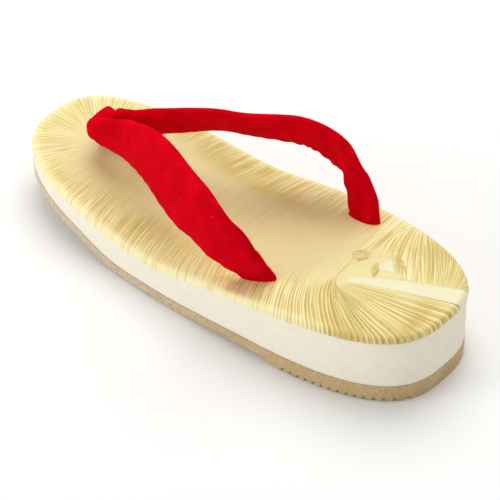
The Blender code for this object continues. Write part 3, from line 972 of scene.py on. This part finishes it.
def outsole_section(y, lip):
    """A section of the rubber, rounded a little at its edges and standing out by a lip."""
    low = float(tread(y))
    high = float(rubber_top(y))
    half = float(half_width(y))
    out = min(lip, half)
    edge = min(SOLE_EDGE, (high - low) / 4, half / 2)
    side = (
        (half - edge, low),
        (half - edge * 0.3, low + edge * 0.3),
        (half + out * 0.6, low + edge),
        (half + out, low + (high - low) * 0.45),
        (half + out, high - edge * 0.8),
        (half + out * 0.4, high - edge * 0.1),
        (half - edge, high),
    )
    return np.array([*both_sides(side, y), (0.0, y, low)])


def make_outsole(sole):
    """The rubber, with its heel block and ribs."""
    places = [place_y(BREAST_SHARE), place_y(BREAST_SHARE) + BREAST_SLOPE]
    for start, end, pitch, _, land in tread_ribs():
        for rib in range(int((end - start) / pitch)):
            for corner in (0.0, land, (1.0 + land) / 2):
                places.append(start + (rib + corner) * pitch)
    rings = [outsole_section(y, sole.lip) for y in sole_places(places, 120)]
    points, faces = section_skin(rings)
    piece = new_mesh_piece("rubber_outsole", tapered(points), faces, 30.0)
    finish_piece(piece, rubber_material(sole), "rubber", "outsole")


def midsole_section(y):
    """A section of the wedge, with a soft upper and lower edge."""
    low = float(rubber_top(y)) + GLUE_GAP * 0.2
    high = float(seat(y))
    half = float(half_width(y))
    pull = min(WEDGE_HOLLOW, half / 2)
    side = []
    for level in WEDGE_LEVELS:
        edge = 1.0 if level in (0.0, 1.0) else 0.0
        hollow = pull * 0.5 * math.sin(math.pi * level)
        side.append((half - pull * 0.8 * edge - hollow, low + (high - low) * level))
    return np.array(both_sides(side, y))


def make_midsole(sole):
    """The sponge wedge between the rubber and the cover."""
    points, faces = section_skin([midsole_section(y) for y in sole_places((), 160)])
    piece = new_mesh_piece("sponge_wedge", tapered(points), faces, 40.0)
    finish_piece(piece, sponge_material(sole), "sponge", "midsole")


def rolled(points, raised):
    """Points on the cover's surface above these plan points, raised off it along its normal."""
    x, y = points[..., 0], points[..., 1]
    inside, out = edge_distance(x, y)
    inside = np.clip(inside, 0.0, RIM_ROUND)
    lean = (RIM_ROUND - inside) / RIM_ROUND
    upright = np.sqrt(np.maximum(1.0 - lean**2, 0.0))
    z = cover_top(y) - RIM_ROUND * (1.0 - upright)
    flat = np.stack((x, y), -1) + out * (lean * raised)[..., None]
    return np.concatenate((flat, (z + raised * upright)[..., None]), -1)


def bezier(start, bend, end, t):
    """Points on a curve from start to end, one row for each t."""
    t = t[:, None, None] if t.ndim == 1 else t[..., None]
    return (1 - t) ** 2 * start + 2 * t * (1 - t) * bend + t**2 * end


def oval_weights_at(x, y, spots):
    """How strongly soft oval spots, given in millimetres, colour these places."""
    total = np.zeros_like(x)
    for middle_x, middle_y, wide, long, turn, strength in spots:
        angle = math.radians(turn)
        away_x = x / MM - middle_x
        away_y = y / MM - middle_y
        across = (away_x * math.cos(angle) + away_y * math.sin(angle)) / wide
        ahead = (-away_x * math.sin(angle) + away_y * math.cos(angle)) / long
        total = total + strength * np.exp(-(across**2 + ahead**2))
    return np.clip(total, 0.0, 1.0)


def across_strip(pleated, phase):
    """Place, height and paleness, a painted crest highlight, at a phase of a strip that is more or
    less of a pleat.
    """
    pleated = np.asarray(pleated)[..., None]
    return pleated * PLEAT[phase] + (1.0 - pleated) * ROUND_STRAW[phase]


def strip_columns():
    """Round the rim: how far along, which strip, its phase, and all of the strips' values."""
    loop = outline_points(OUTLINE_STEPS)
    steps = np.hypot(*np.diff(loop, axis=0).T)
    run = np.concatenate(([0.0], np.cumsum(steps)))
    marks = []
    for x, y in STRIPS[:, :2] * MM:
        nearest = int(np.argmin(np.hypot(loop[:-1, 0] - x, loop[:-1, 1] - y)))
        marks.append(run[nearest])
    marks = np.array(marks)
    marks[1:] += np.where(marks[1:] < marks[0], run[-1], 0.0)
    fine = np.linspace(marks[0], marks[-1], OUTLINE_STEPS)
    pitch = np.interp(fine, marks, STRIPS[:, PITCH]) * MM
    count = np.concatenate(([0.0], np.cumsum(np.diff(fine) / ((pitch[1:] + pitch[:-1]) / 2))))
    strips = int(round(count[-1]))
    rng = np.random.default_rng(3)
    middles = np.interp(np.arange(strips + 1), count, fine)
    pleated = np.interp(middles, marks, STRIPS[:, PLEATED])
    edges = np.arange(strips + 1) + EDGE_DRIFT * (rng.random(strips + 1) - 0.5) * pleated
    edges[0], edges[-1] = 0.0, strips
    places = []
    for strip in range(strips):
        wide = edges[strip + 1] - edges[strip]
        for phase in range(len(PLEAT)):
            place = across_strip(pleated[strip], phase)[0]
            places.append((strip, phase, edges[strip] + place * wide))
    places.append((strips - 1, 0, float(strips)))
    places = np.array(places)
    along = np.interp(places[:, 2], count, fine)
    values = np.stack([np.interp(along, marks, column) for column in STRIPS.T], -1)
    rim = np.stack([np.interp(along % run[-1], run, loop[:, axis]) for axis in (0, 1)], -1)
    return along, places[:, 0].astype(int), places[:, 1].astype(int), values, rim


def write_tones(piece, crest_light_and_groove_shade, chance, golden_and_shadow, smooth_part, strips_uv):
    """Stores the straw's tones, painted light and shade among them, and the course of its fibres
    on a piece.

    Each tone is one number for the whole piece or one for each of its points.
    """
    mesh = piece.data
    each = np.ones(len(mesh.vertices))
    tones = mesh.attributes.new("straw", "FLOAT_COLOR", "POINT")
    colours = np.stack([each * np.ravel(value) for value in (crest_light_and_groove_shade, chance, golden_and_shadow, 1.0)], -1)
    tones.data.foreach_set("color", colours.astype(np.float32).ravel())
    part = mesh.attributes.new("smooth_part", "FLOAT", "POINT")
    part.data.foreach_set("value", (each * np.ravel(smooth_part)).astype(np.float32))
    corners = np.zeros(len(mesh.loops), np.int32)
    mesh.loops.foreach_get("vertex_index", corners)
    layer = mesh.uv_layers.new(name="strips")
    layer.data.foreach_set("uv", strips_uv.reshape(-1, 2)[corners].astype(np.float32).ravel())


def strip_steps(rows, run):
    """Shares of the way along each strip, even up to the rim and closer together round it."""
    inner = np.linspace(0.0, 1.0, rows)[:, None] * (1.0 - RIM_SPACE / run)[None, :]
    left = RIM_ROUND * (1.0 - np.sin(np.radians(RIM_ANGLES)))
    return np.concatenate((inner, 1.0 - left[:, None] / run[None, :]))


def strip_skirt(rim, raised, ragged):
    """Rows of points down the cover's side, from below the round of its rim to the wedge."""
    _, out = edge_distance(rim[:, 0], rim[:, 1])
    top = cover_top(rim[:, 1]) - RIM_ROUND
    low = seat(rim[:, 1]) + GLUE_GAP * 0.4
    rows = []
    for level, off in SKIRT:
        flat = rim + out * (off + raised * (off >= 0.0))[:, None]
        z = top + (low + ragged - top) * level
        rows.append(np.concatenate((flat, z[:, None]), -1))
    return np.array(rows)


def make_cover(straw):
    """The straw strips, which run from the middle over the rim and down to the wedge."""
    along, strip, phase, values, rim = strip_columns()
    start = values[:, 2:4] * MM
    bend = values[:, 4:6] * MM
    rng = np.random.default_rng(11)
    chance, odd, frayed = (rng.random(strip.max() + 2)[strip] for _ in range(3))
    _, profile, painted_crest_light = across_strip(values[:, PLEATED], phase).T
    run = np.hypot(*(rim - bend).T) + np.hypot(*(bend - start).T)
    t = strip_steps(straw.rows, run)
    plan = bezier(start[None], bend[None], rim[None], t)
    shows = np.clip((t - values[:, BEGINS]) / (values[:, FULL] - values[:, BEGINS]), 0.0, 1.0)
    shows = shows * shows * (3.0 - 2.0 * shows)
    height = values[:, HEIGHT] * MM * straw.relief * (1.0 + HEIGHT_DRIFT * (odd - 0.5))
    raised = profile[None] * height[None] * shows * np.clip(0.2 + 2.2 * t, 0.0, 1.0)
    ripple, ripple_pitch = RIPPLE
    waves = np.sin(plan[..., 1] * 2 * math.pi / ripple_pitch)
    raised = raised + ripple * oval_weights_at(plan[..., 0], plan[..., 1], RIPPLE_SPOTS) * waves
    skirt = strip_skirt(rim, raised[-1], RAGGED * (frayed - 0.5))
    points = np.concatenate((rolled(plan, raised), skirt))
    rows, columns = points.shape[:2]
    piece = new_mesh_piece("straw_cover", points.reshape(-1, 3), grid_faces(rows, columns))

    shows = np.concatenate((shows, np.repeat(shows[-1:], len(skirt), 0)))
    far_along = np.concatenate((t, np.ones((len(skirt), columns))))
    telling = shows * (0.25 + 0.75 * np.clip(values[:, HEIGHT] / 0.32, 0.0, 1.0))[None]
    telling = telling * np.clip(0.25 + 2.0 * far_along, 0.0, 1.0)
    x, y = points[..., 0], points[..., 1]
    from_rim = edge_distance(x, y)[0] / MM
    # Painted highlight: a bright band along the rim, fading out at the heel
    lit_rim = np.clip(1.0 - from_rim / BRIGHT_RIM, 0.0, 1.0)
    lit_rim = lit_rim * np.clip((y - BRIGHT_FROM) / BRIGHT_RUN, 0.0, 1.0)
    # Painted light: crests pale and grooves golden by each strip's profile, paler still in the
    # rim's painted highlight
    crest_light_and_groove_shade = 0.55 + (painted_crest_light[None] - 0.55) * telling + 0.45 * lit_rim
    # The straw's riper tone with painted strap shadows, then the painted contact shadow
    golden_and_shadow = oval_weights_at(x, y, GOLDEN_AND_SHADOW_OVALS) * 0.75 * (1.0 - 0.8 * lit_rim)
    golden_and_shadow = np.maximum(golden_and_shadow, oval_weights_at(x, y, CONTACT_SHADOW_OVALS))
    uv = np.stack((np.repeat(along[None], rows, 0), far_along * run[None]), -1)
    chance = np.repeat(chance[None], rows, 0)
    write_tones(piece, crest_light_and_groove_shade, chance, golden_and_shadow, (1.0 - shows) * 0.85, uv)
    return piece


def make_middle():
    """The smooth straw between the starts of the strips at the heel."""
    x, y = np.meshgrid(np.linspace(-15, 20, 60) * MM, np.linspace(-116, -50, 90) * MM)
    points = rolled(np.stack((x, y), -1), np.full(x.shape, -MIDDLE_SUNK))
    piece = new_mesh_piece("straw_middle", points.reshape(-1, 3), grid_faces(90, 60))
    write_tones(piece, 0.55, 0.5, 0.0, 0.9, np.stack((y, x), -1))
    return piece


def make_flap():
    """The smooth flap that is laid back from the middle to the heel and turned over its rim."""
    across, lift, golden_and_shadow = FLAP_SECTION.T
    lift = lift * MM
    ends = FLAP_NEAR[:, None] + (FLAP_FAR - FLAP_NEAR)[:, None] * across[None, :, None]
    loop = outline_points(OUTLINE_STEPS)
    for column in range(len(across)):
        gap = np.hypot(*(loop - ends[2, column]).T)
        ends[2, column] = loop[int(np.argmin(gap))]
    t = np.concatenate((np.linspace(0, 0.93, 40), 1 - 0.05 * np.linspace(0.9, 0, 14) ** 1.6))
    plan = bezier(ends[0][None], ends[1][None], ends[2][None], t)
    start = np.clip(t / FLAP_RISE, 0.0, 1.0)[:, None]
    raised = np.where(lift[None] > 0, lift[None] * start, lift[None])
    last = ends[2]
    _, out = edge_distance(last[:, 0], last[:, 1])
    rows = [rolled(plan, raised)]
    for drop, off in FLAP_HEM:
        z = cover_top(last[:, 1]) - RIM_ROUND - drop
        rows.append(np.concatenate((last + out * off, z[:, None]), -1)[None])
    points = np.concatenate(rows)
    shape = points.shape[:2]
    piece = new_mesh_piece("straw_flap", points.reshape(-1, 3), grid_faces(*shape), 50.0)
    ones = np.ones(shape)
    far = np.cumsum(ones * FLAP_STEP, axis=0)
    uv = np.stack((ones * across[None] * FLAP_WIDTH, far), -1)
    # The flap's edges are golden as painted shade where it meets the cover
    write_tones(piece, 0.7, 0.4, ones * golden_and_shadow[None], 1.0, uv)
    return piece


def make_sheath_end():
    """The small pale end of sheath beside the flap, a triangle."""
    points = []
    edge = []
    for row in range(SHEATH_ROWS):
        for column in range(SHEATH_ROWS):
            a, b = row / (SHEATH_ROWS - 1), column / (SHEATH_ROWS - 1)
            base = SHEATH_CORNERS[1] * (1 - b) + SHEATH_CORNERS[2] * b
            x, y = SHEATH_CORNERS[0] * (1 - a) + base * a
            rim = min(a, b * a, (1 - b) * a, 1 - a)
            rise = SHEATH_RISE * min(1.0, rim * 9.0) - SHEATH_SUNK
            points.append((x, y, float(cover_top(y)) + rise))
            # A golden outline along the triangle's edge, as painted shade where it meets the cover
            edge.append(0.5 if rim < 0.01 else 0.0)
    piece = new_mesh_piece("sheath_end", points, grid_faces(SHEATH_ROWS, SHEATH_ROWS))
    x, y, _ = np.array(points).T
    write_tones(piece, 0.7, 0.4, edge, 1.0, np.stack((x - y, x + y), -1))
    return piece


def tube(points, radius, sides=7, taper=0.35):
    """Points and faces of a thin straw along a line, thinner at both ends."""
    ways = np.gradient(points, axis=0)
    ways /= np.linalg.norm(ways, axis=1)[:, None]
    across = np.cross(ways, UP)
    across /= np.linalg.norm(across, axis=1)[:, None]
    over = np.cross(across, ways)
    t = np.linspace(0.0, 1.0, len(points))
    size = radius * (taper + (1 - taper) * np.minimum(1.0, 4 * np.minimum(t, 1 - t)))
    rings = []
    for step in range(sides):
        turn = 2 * math.pi * step / sides
        rings.append(across * math.cos(turn) * 1.4 + over * math.sin(turn) * 0.7)
    rings = np.stack(rings, 1) * size[:, None, None] + points[:, None]
    return rings.reshape(-1, 3), grid_faces(len(points), sides, closed=True)


def knot_courses():
    """Course and radius of each short straw of the knot, in millimetres."""
    rng = np.random.default_rng(5)
    courses = []
    for _ in range(KNOT_STRAWS):
        turn = rng.uniform(0.0, 2.0 * math.pi)
        away = rng.uniform(0.0, 1.0)
        middle_x = KNOT[0] + KNOT_SIZE[0] * away * math.cos(turn)
        middle_y = KNOT[1] + KNOT_SIZE[1] * away * math.sin(turn)
        heading = turn + math.pi / 2 + rng.uniform(-0.9, 0.9)
        half = rng.uniform(0.9, 1.9)
        ends = []
        for step, lift in ((-1.0, -0.05), (0.0, 0.62 - 0.35 * away), (1.0, 0.0)):
            x = middle_x + half * step * math.cos(heading)
            y = middle_y + half * step * math.sin(heading)
            ends.append((x, y, lift))
        courses.append((np.array(ends), rng.uniform(0.22, 0.34)))
    return courses


def make_loose_straws():
    """The small knot and the short straws that show where the plaiting ends."""
    courses = knot_courses()
    for (count, radius), first, step in LOOSE_ROWS:
        for index in range(count):
            courses.append((np.array(first) + np.array(step) * index, radius))
    points = []
    faces = []
    for (low, bend, high), radius in courses:
        line = bezier(low, bend, high, np.linspace(0.0, 1.0, 13))[:, 0] * MM
        line[:, 2] += cover_top(line[:, 1])
        more, skin = tube(line, radius * MM)
        faces.extend([tuple(corner + len(points) for corner in face) for face in skin])
        points.extend(more)
    piece = new_mesh_piece("loose_straws", points, faces)
    x, y, _ = np.array(points).T
    write_tones(piece, 0.6, 0.7, 0.5, 0.0, np.stack((x + y, x - y), -1))
    return piece


def strap_frame(place, side):
    """Centre, width, thickness and lean of one half at a share of the way from the fold."""
    spread, rise, width, thickness, lean = smooth_rows(STRAP, np.array([place]))[0]
    run = LENGTH - TOE_TO_FOLD - HEEL_TO_REAR
    y = LENGTH / 2 - TOE_TO_FOLD - run * place
    if side < 0:
        y += LEFT_FORWARD * place**2
    x = side * (WIDTH / 2 - STRAP_INSET) * spread
    z = float(cover_top(y)) + STRAP_RISE * rise
    sizes = (STRAP_WIDTH * width, STRAP_THICKNESS * thickness, math.radians(lean))
    return np.array((x, y, z)), *sizes


def full_power(value, squareness):
    """A sine or cosine, made fuller, so that an oval comes out squarer."""
    return np.sign(value) * np.abs(value) ** (2.0 / squareness)


def fuller(station, side):
    """The station of one half, filled out beside the fold and eased where the velvet is soft."""
    centre, width, thickness, lean, place = station
    near = math.exp(-((place / FOLD_REACH) ** 2))
    wide, thick, lift, aside, ahead = FOLD_FULL[side]
    inward, forward, _ = REAR_END[side]
    late = abs(place) ** 8
    centre = centre + np.array((aside, ahead, lift)) * near
    centre = centre + np.array((-side * inward, forward, 0.0)) * late
    width = width * (1 + wide * near)
    for where, reach_out, wider, inward, forward, up in EASED[side]:
        here = math.exp(-(((abs(place) - where) / reach_out) ** 2))
        centre = centre + np.array((-side * inward, forward, up)) * here
        width = width * (1 + wider * here)
    return centre, width, thickness * (1 + thick * near), lean, place


def strap_course(steps):
    """Stations from the left rear end round the fold to the right rear end."""
    places = (np.arange(steps + 1) / steps) ** 1.15
    left = [fuller((*strap_frame(place, -1), -place), -1) for place in places[::-1]]
    right = [fuller((*strap_frame(place, 1), place), 1) for place in places]
    first, last = left[-1], right[0]
    radius = (last[0][0] - first[0][0]) / 2
    fold = []
    for angle in FOLD_ANGLES:
        bend = math.radians(angle)
        part = (math.sin(bend) + 1.0) / 2
        drawn_in = math.cos(bend) ** 2
        bulge = radius * FOLD_BULGE * math.cos(bend)
        centre = first[0] * (1 - part) + last[0] * part
        centre = centre + np.array((0.0, bulge, -FOLD_DROP * drawn_in))
        sizes = [first[index] * (1 - part) + last[index] * part for index in (1, 2)]
        fold.append((centre, *[size * (1 - FOLD_DRAWN_IN * drawn_in) for size in sizes], 0.0, 0.0))
    return left + fold + right


def soft_fold(place, turn):
    """How far the velvet stands in or out at a place along the strap and a turn about it."""
    lower = max(0.0, -math.cos(turn))
    if place <= 0.0:
        return 0.12 * lower**2 * math.sin(abs(place) * 90.0)
    where, wide, depth = GATHERS
    gathered = math.exp(-(((place - where) / wide) ** 2)) + 0.12
    gather = 0.7 - depth * math.sin(place * 68.0 + 0.5 * math.sin(place * 37.0)) ** 2
    where, wide, depth = NOTCH
    notch = -depth * math.exp(-(((place - where) / wide) ** 2))
    return (gather * gathered + notch) * lower**2


def strap_ring(station, way, velvet, sides):
    """The points round one section of the padded strap."""
    centre, width, thickness, lean, place = station
    along = way / np.linalg.norm(way)
    inward = np.array((along[1], -along[0], 0.0))
    inward /= np.linalg.norm(inward)
    up = UP * math.cos(lean) + inward * math.sin(lean)
    up = up - along * up.dot(along)
    up /= np.linalg.norm(up)
    across = np.cross(along, up)
    base = REAR_END[1][2] * max(0.0, (place - BASE_FROM) / (1.0 - BASE_FROM))
    soft, soft_scale = SOFT_BUMPS
    fine, finer = FINE_BUMPS
    ring = []
    for step in range(sides):
        turn = 2.0 * math.pi * step / sides
        tall = full_power(math.cos(turn), STRAP_SQUARENESS)
        point = centre + up * tall * width / 2 + across * math.sin(turn) * thickness / 2
        point = point - up * base * max(0.0, -math.cos(turn)) ** 1.5
        away = point - centre
        away /= np.linalg.norm(away)
        seed = Vector(point * soft_scale)
        swell = soft * noise.noise(seed) + fine * noise.noise(seed * finer)
        if place != 0.0:
            swell += velvet.pucker * soft_fold(place, turn) * min(1.0, abs(place) * 6.0)
        ring.append(point + away * swell)
    return np.array(ring)


def landed(ring, way, end):
    """An end ring slid down along the strap to the cover, and the same one inside the cover."""
    along = way / np.linalg.norm(way)
    slid = np.zeros(len(ring))
    for _ in range(4):
        now = ring + along * slid[:, None]
        slid = slid + (cover_top(now[:, 1]) + FOOT_ABOVE - now[:, 2]) / along[2]
    slid = slid * end
    slid = np.minimum(slid, slid.max() * FOOT_REACH) * end
    ring = ring + along * slid[:, None]
    foot = ring.copy()
    foot[:, 2] = cover_top(foot[:, 1]) - FOOT_BELOW
    return ring, foot


def make_strap(velvet, made, sides=44, steps=240):
    """Both padded halves and the fold between them, gathered a little along the lower seam."""
    course = strap_course(steps)
    ways = np.gradient(np.array([station[0] for station in course]), axis=0)
    rings = [strap_ring(station, way, velvet, sides) for station, way in zip(course, ways)]
    first, left_foot = landed(rings[0], ways[0], -1.0)
    last, right_foot = landed(rings[-1], ways[-1], 1.0)
    above = []
    for ring in rings[1:-1]:
        if np.all(ring[:, 2] > cover_top(ring[:, 1]) - RING_MARGIN):
            above.append(ring)
    points, faces = section_skin([left_foot, first, *above, last, right_foot])
    piece = new_mesh_piece("velvet_strap", points, faces, 70.0)
    finish_piece(piece, made, "velvet", "strap")


def make_toe_loop(made, steps=56, sides=22):
    """The padded band around the strap's fold, with the neck that goes down into the cover."""
    course = strap_course(20)
    centre, width, thickness = course[len(course) // 2][:3]
    middle_y = centre[1]
    tall = width / 2 + LOOP_THICKNESS * 0.3
    down = float(centre[2] - cover_top(middle_y)) - LOOP_THICKNESS * 0.35
    deep = thickness / 2 + LOOP_THICKNESS * 0.3
    rings = []
    for index in range(steps):
        turn = 2.0 * math.pi * index / steps
        across = full_power(math.sin(turn), LOOP_SQUARENESS)
        upward = full_power(math.cos(turn), LOOP_SQUARENESS)
        out = np.array((0.0, across * tall, upward * deep))
        out /= np.linalg.norm(out)
        low = max(0.0, -upward)
        behind = LOOP_BEHIND if across < 0.0 else 0.0
        reach_out = (deep + behind) * (1.0 - NECK_DRAWN_IN * low**1.3)
        reach_out = max(reach_out, LOOP_THICKNESS * 0.34)
        rise = upward * (tall if upward > 0.0 else down)
        middle = np.array((LOOP_ASIDE, middle_y + across * reach_out, centre[2] + rise))
        wide = LOOP_WIDTH * (0.9 + 0.1 * across) * (1.0 - NECK_NARROWING * low)
        ring = []
        for step in range(sides):
            angle = 2.0 * math.pi * step / sides
            aside = full_power(math.cos(angle), BAND_SQUARENESS) * wide / 2
            off = full_power(math.sin(angle), BAND_SQUARENESS) * LOOP_THICKNESS / 2
            point = middle + np.array((aside, 0.0, 0.0)) + out * off
            crease = noise.noise(Vector(point * 260.0)) * (0.4 + 0.6 * max(0.0, upward))
            ring.append(point + out * LOOP_CREASE * crease)
        rings.append(np.array(ring))
    faces = grid_faces(steps, sides, closed=True)
    last = (steps - 1) * sides
    for side in range(sides):
        after = (side + 1) % sides
        faces.append((last + side, last + after, after, side))
    piece = new_mesh_piece("velvet_toe_loop", np.concatenate(rings), faces)
    finish_piece(piece, made, "velvet", "toe_loop")


class SANDAL_OT_outsole(Operator):
    """Makes the ribbed rubber outsole."""

    bl_idname = "sandal.make_outsole"
    bl_label = "Outsole"

    def execute(self, context):
        remove_piece("rubber_outsole")
        make_outsole(context.scene.sandal_sole)
        return {"FINISHED"}


class SANDAL_OT_midsole(Operator):
    """Makes the sponge wedge."""

    bl_idname = "sandal.make_midsole"
    bl_label = "Wedge"

    def execute(self, context):
        remove_piece("sponge_wedge")
        make_midsole(context.scene.sandal_sole)
        return {"FINISHED"}


class SANDAL_OT_cover(Operator):
    """Makes the plaited straw cover with its middle, flap and loose straws."""

    bl_idname = "sandal.make_cover"
    bl_label = "Straw cover"

    def execute(self, context):
        straw = context.scene.sandal_straw
        for name in ("straw_cover", "straw_middle", "straw_flap", "sheath_end", "loose_straws"):
            remove_piece(name)
        made = straw_material(straw)
        finish_piece(make_cover(straw), made, "straw", "cover")
        for piece in (make_middle(), make_loose_straws()):
            finish_piece(piece, made, "straw")
        pale = sheath_material(straw)
        for piece in (make_flap(), make_sheath_end()):
            finish_piece(piece, pale, "straw")
        return {"FINISHED"}


class SANDAL_OT_straps(Operator):
    """Makes the padded velvet strap and the toe loop."""

    bl_idname = "sandal.make_straps"
    bl_label = "Straps"

    def execute(self, context):
        velvet = context.scene.sandal_velvet
        for name in ("velvet_strap", "velvet_toe_loop"):
            remove_piece(name)
        made = velvet_material(velvet)
        make_strap(velvet, made)
        make_toe_loop(made)
        return {"FINISHED"}


class SANDAL_OT_stage(Operator):
    """Makes the floor, the lights and the camera."""

    bl_idname = "sandal.make_stage"
    bl_label = "Stage"

    def execute(self, context):
        stage = context.scene.sandal_stage
        remove_piece("floor")
        context.scene.view_settings.view_transform = "Standard"
        make_floor(stage)
        make_lights(stage)
        make_camera(stage)
        return {"FINISHED"}


def make_floor(stage):
    """The plain floor below the sandal."""
    steps = 24
    spots = np.linspace(-FLOOR_HALF, FLOOR_HALF, steps)
    x, y = np.meshgrid(spots, spots)
    points = np.stack((x, y, np.zeros_like(x)), -1).reshape(-1, 3)
    floor = new_mesh_piece("floor", points, grid_faces(steps, steps))
    floor.data.materials.append(floor_material(stage))


def add_lamp(name, place, size, power, colour):
    """A round lamp at a place, turned to the sandal."""
    remove_piece(name)
    light = bpy.data.lights.new(name, "AREA")
    light.shape = "DISK"
    light.size = size
    light.energy = power
    light.color = colour
    lamp = bpy.data.objects.new(name, light)
    lamp.location = place
    way = Vector(LAMP_AIM) - Vector(place)
    lamp.rotation_euler = way.to_track_quat("-Z", "Y").to_euler()
    bpy.context.scene.collection.objects.link(lamp)


def make_lights(stage):
    """A large lamp, a smaller one at the left and an even light all round."""
    add_lamp("key_lamp", KEY_PLACE, 1.2, stage.key, (1.0, 0.985, 0.96))
    add_lamp("fill_lamp", FILL_PLACE, 0.9, stage.fill, (0.97, 0.98, 1.0))
    world = bpy.data.worlds.new("even_light")
    world.use_nodes = True
    sky = world.node_tree.nodes["Background"]
    sky.inputs["Color"].default_value = (1.0, 1.0, 1.0, 1.0)
    sky.inputs["Strength"].default_value = stage.sky
    bpy.context.scene.world = world


def make_camera(stage):
    """The camera of the photograph, turned on its spot to the one sandal."""
    azimuth, elevation = stage.azimuth, stage.elevation
    back = Vector(
        (
            math.sin(azimuth) * math.cos(elevation),
            -math.cos(azimuth) * math.cos(elevation),
            math.sin(elevation),
        )
    )
    right = (-back).cross(Vector(UP)).normalized()
    over = right.cross(-back)
    turned = math.cos(stage.roll) * right + math.sin(stage.roll) * over
    upward = -math.sin(stage.roll) * right + math.cos(stage.roll) * over
    place = Vector(stage.target) + back * stage.distance
    ahead = (-back + turned * stage.aside + upward * stage.below).normalized()
    upward = (upward - ahead * upward.dot(ahead)).normalized()
    turned = ahead.cross(upward)
    remove_piece("camera")
    camera = bpy.data.objects.new("camera", bpy.data.cameras.new("camera"))
    camera.data.lens = stage.lens
    camera.data.sensor_width = 36.0
    camera.data.clip_end = 20.0
    columns = Matrix((turned, upward, -ahead)).transposed().to_4x4()
    camera.matrix_world = Matrix.Translation(place) @ columns
    bpy.context.scene.collection.objects.link(camera)
    bpy.context.scene.camera = camera


class SANDAL_PT_panel(Panel):
    """Lists the sandal's pieces and the settings they are made with."""

    bl_idname = "SANDAL_PT_panel"
    bl_label = "Tatami sandal"
    bl_space_type = "VIEW_3D"
    bl_region_type = "UI"
    bl_category = "Sandal"

    def draw(self, context):
        for operator in MAKERS:
            self.layout.operator(operator.bl_idname)
        for group, pointer in SETTINGS:
            box = self.layout.box()
            for name in group.__annotations__:
                box.prop(getattr(context.scene, pointer), name)


MAKERS = (
    SANDAL_OT_outsole,
    SANDAL_OT_midsole,
    SANDAL_OT_cover,
    SANDAL_OT_straps,
    SANDAL_OT_stage,
)
SETTINGS = (
    (StrawSettings, "sandal_straw"),
    (VelvetSettings, "sandal_velvet"),
    (SoleSettings, "sandal_sole"),
    (StageSettings, "sandal_stage"),
)


def register():
    """Registers the settings, the operators and the panel."""
    for group, pointer in SETTINGS:
        bpy.utils.register_class(group)
        setattr(bpy.types.Scene, pointer, PointerProperty(type=group))
    for operator in MAKERS:
        bpy.utils.register_class(operator)
    bpy.utils.register_class(SANDAL_PT_panel)


def unregister():
    """Takes away what register() added."""
    bpy.utils.unregister_class(SANDAL_PT_panel)
    for operator in reversed(MAKERS):
        bpy.utils.unregister_class(operator)
    for group, pointer in reversed(SETTINGS):
        delattr(bpy.types.Scene, pointer)
        bpy.utils.unregister_class(group)


def main():
    """Makes the whole sandal and its stage."""
    register()
    bpy.ops.sandal.make_outsole()
    bpy.ops.sandal.make_midsole()
    bpy.ops.sandal.make_cover()
    bpy.ops.sandal.make_straps()
    bpy.ops.sandal.make_stage()


if __name__ == "__main__":
    main()
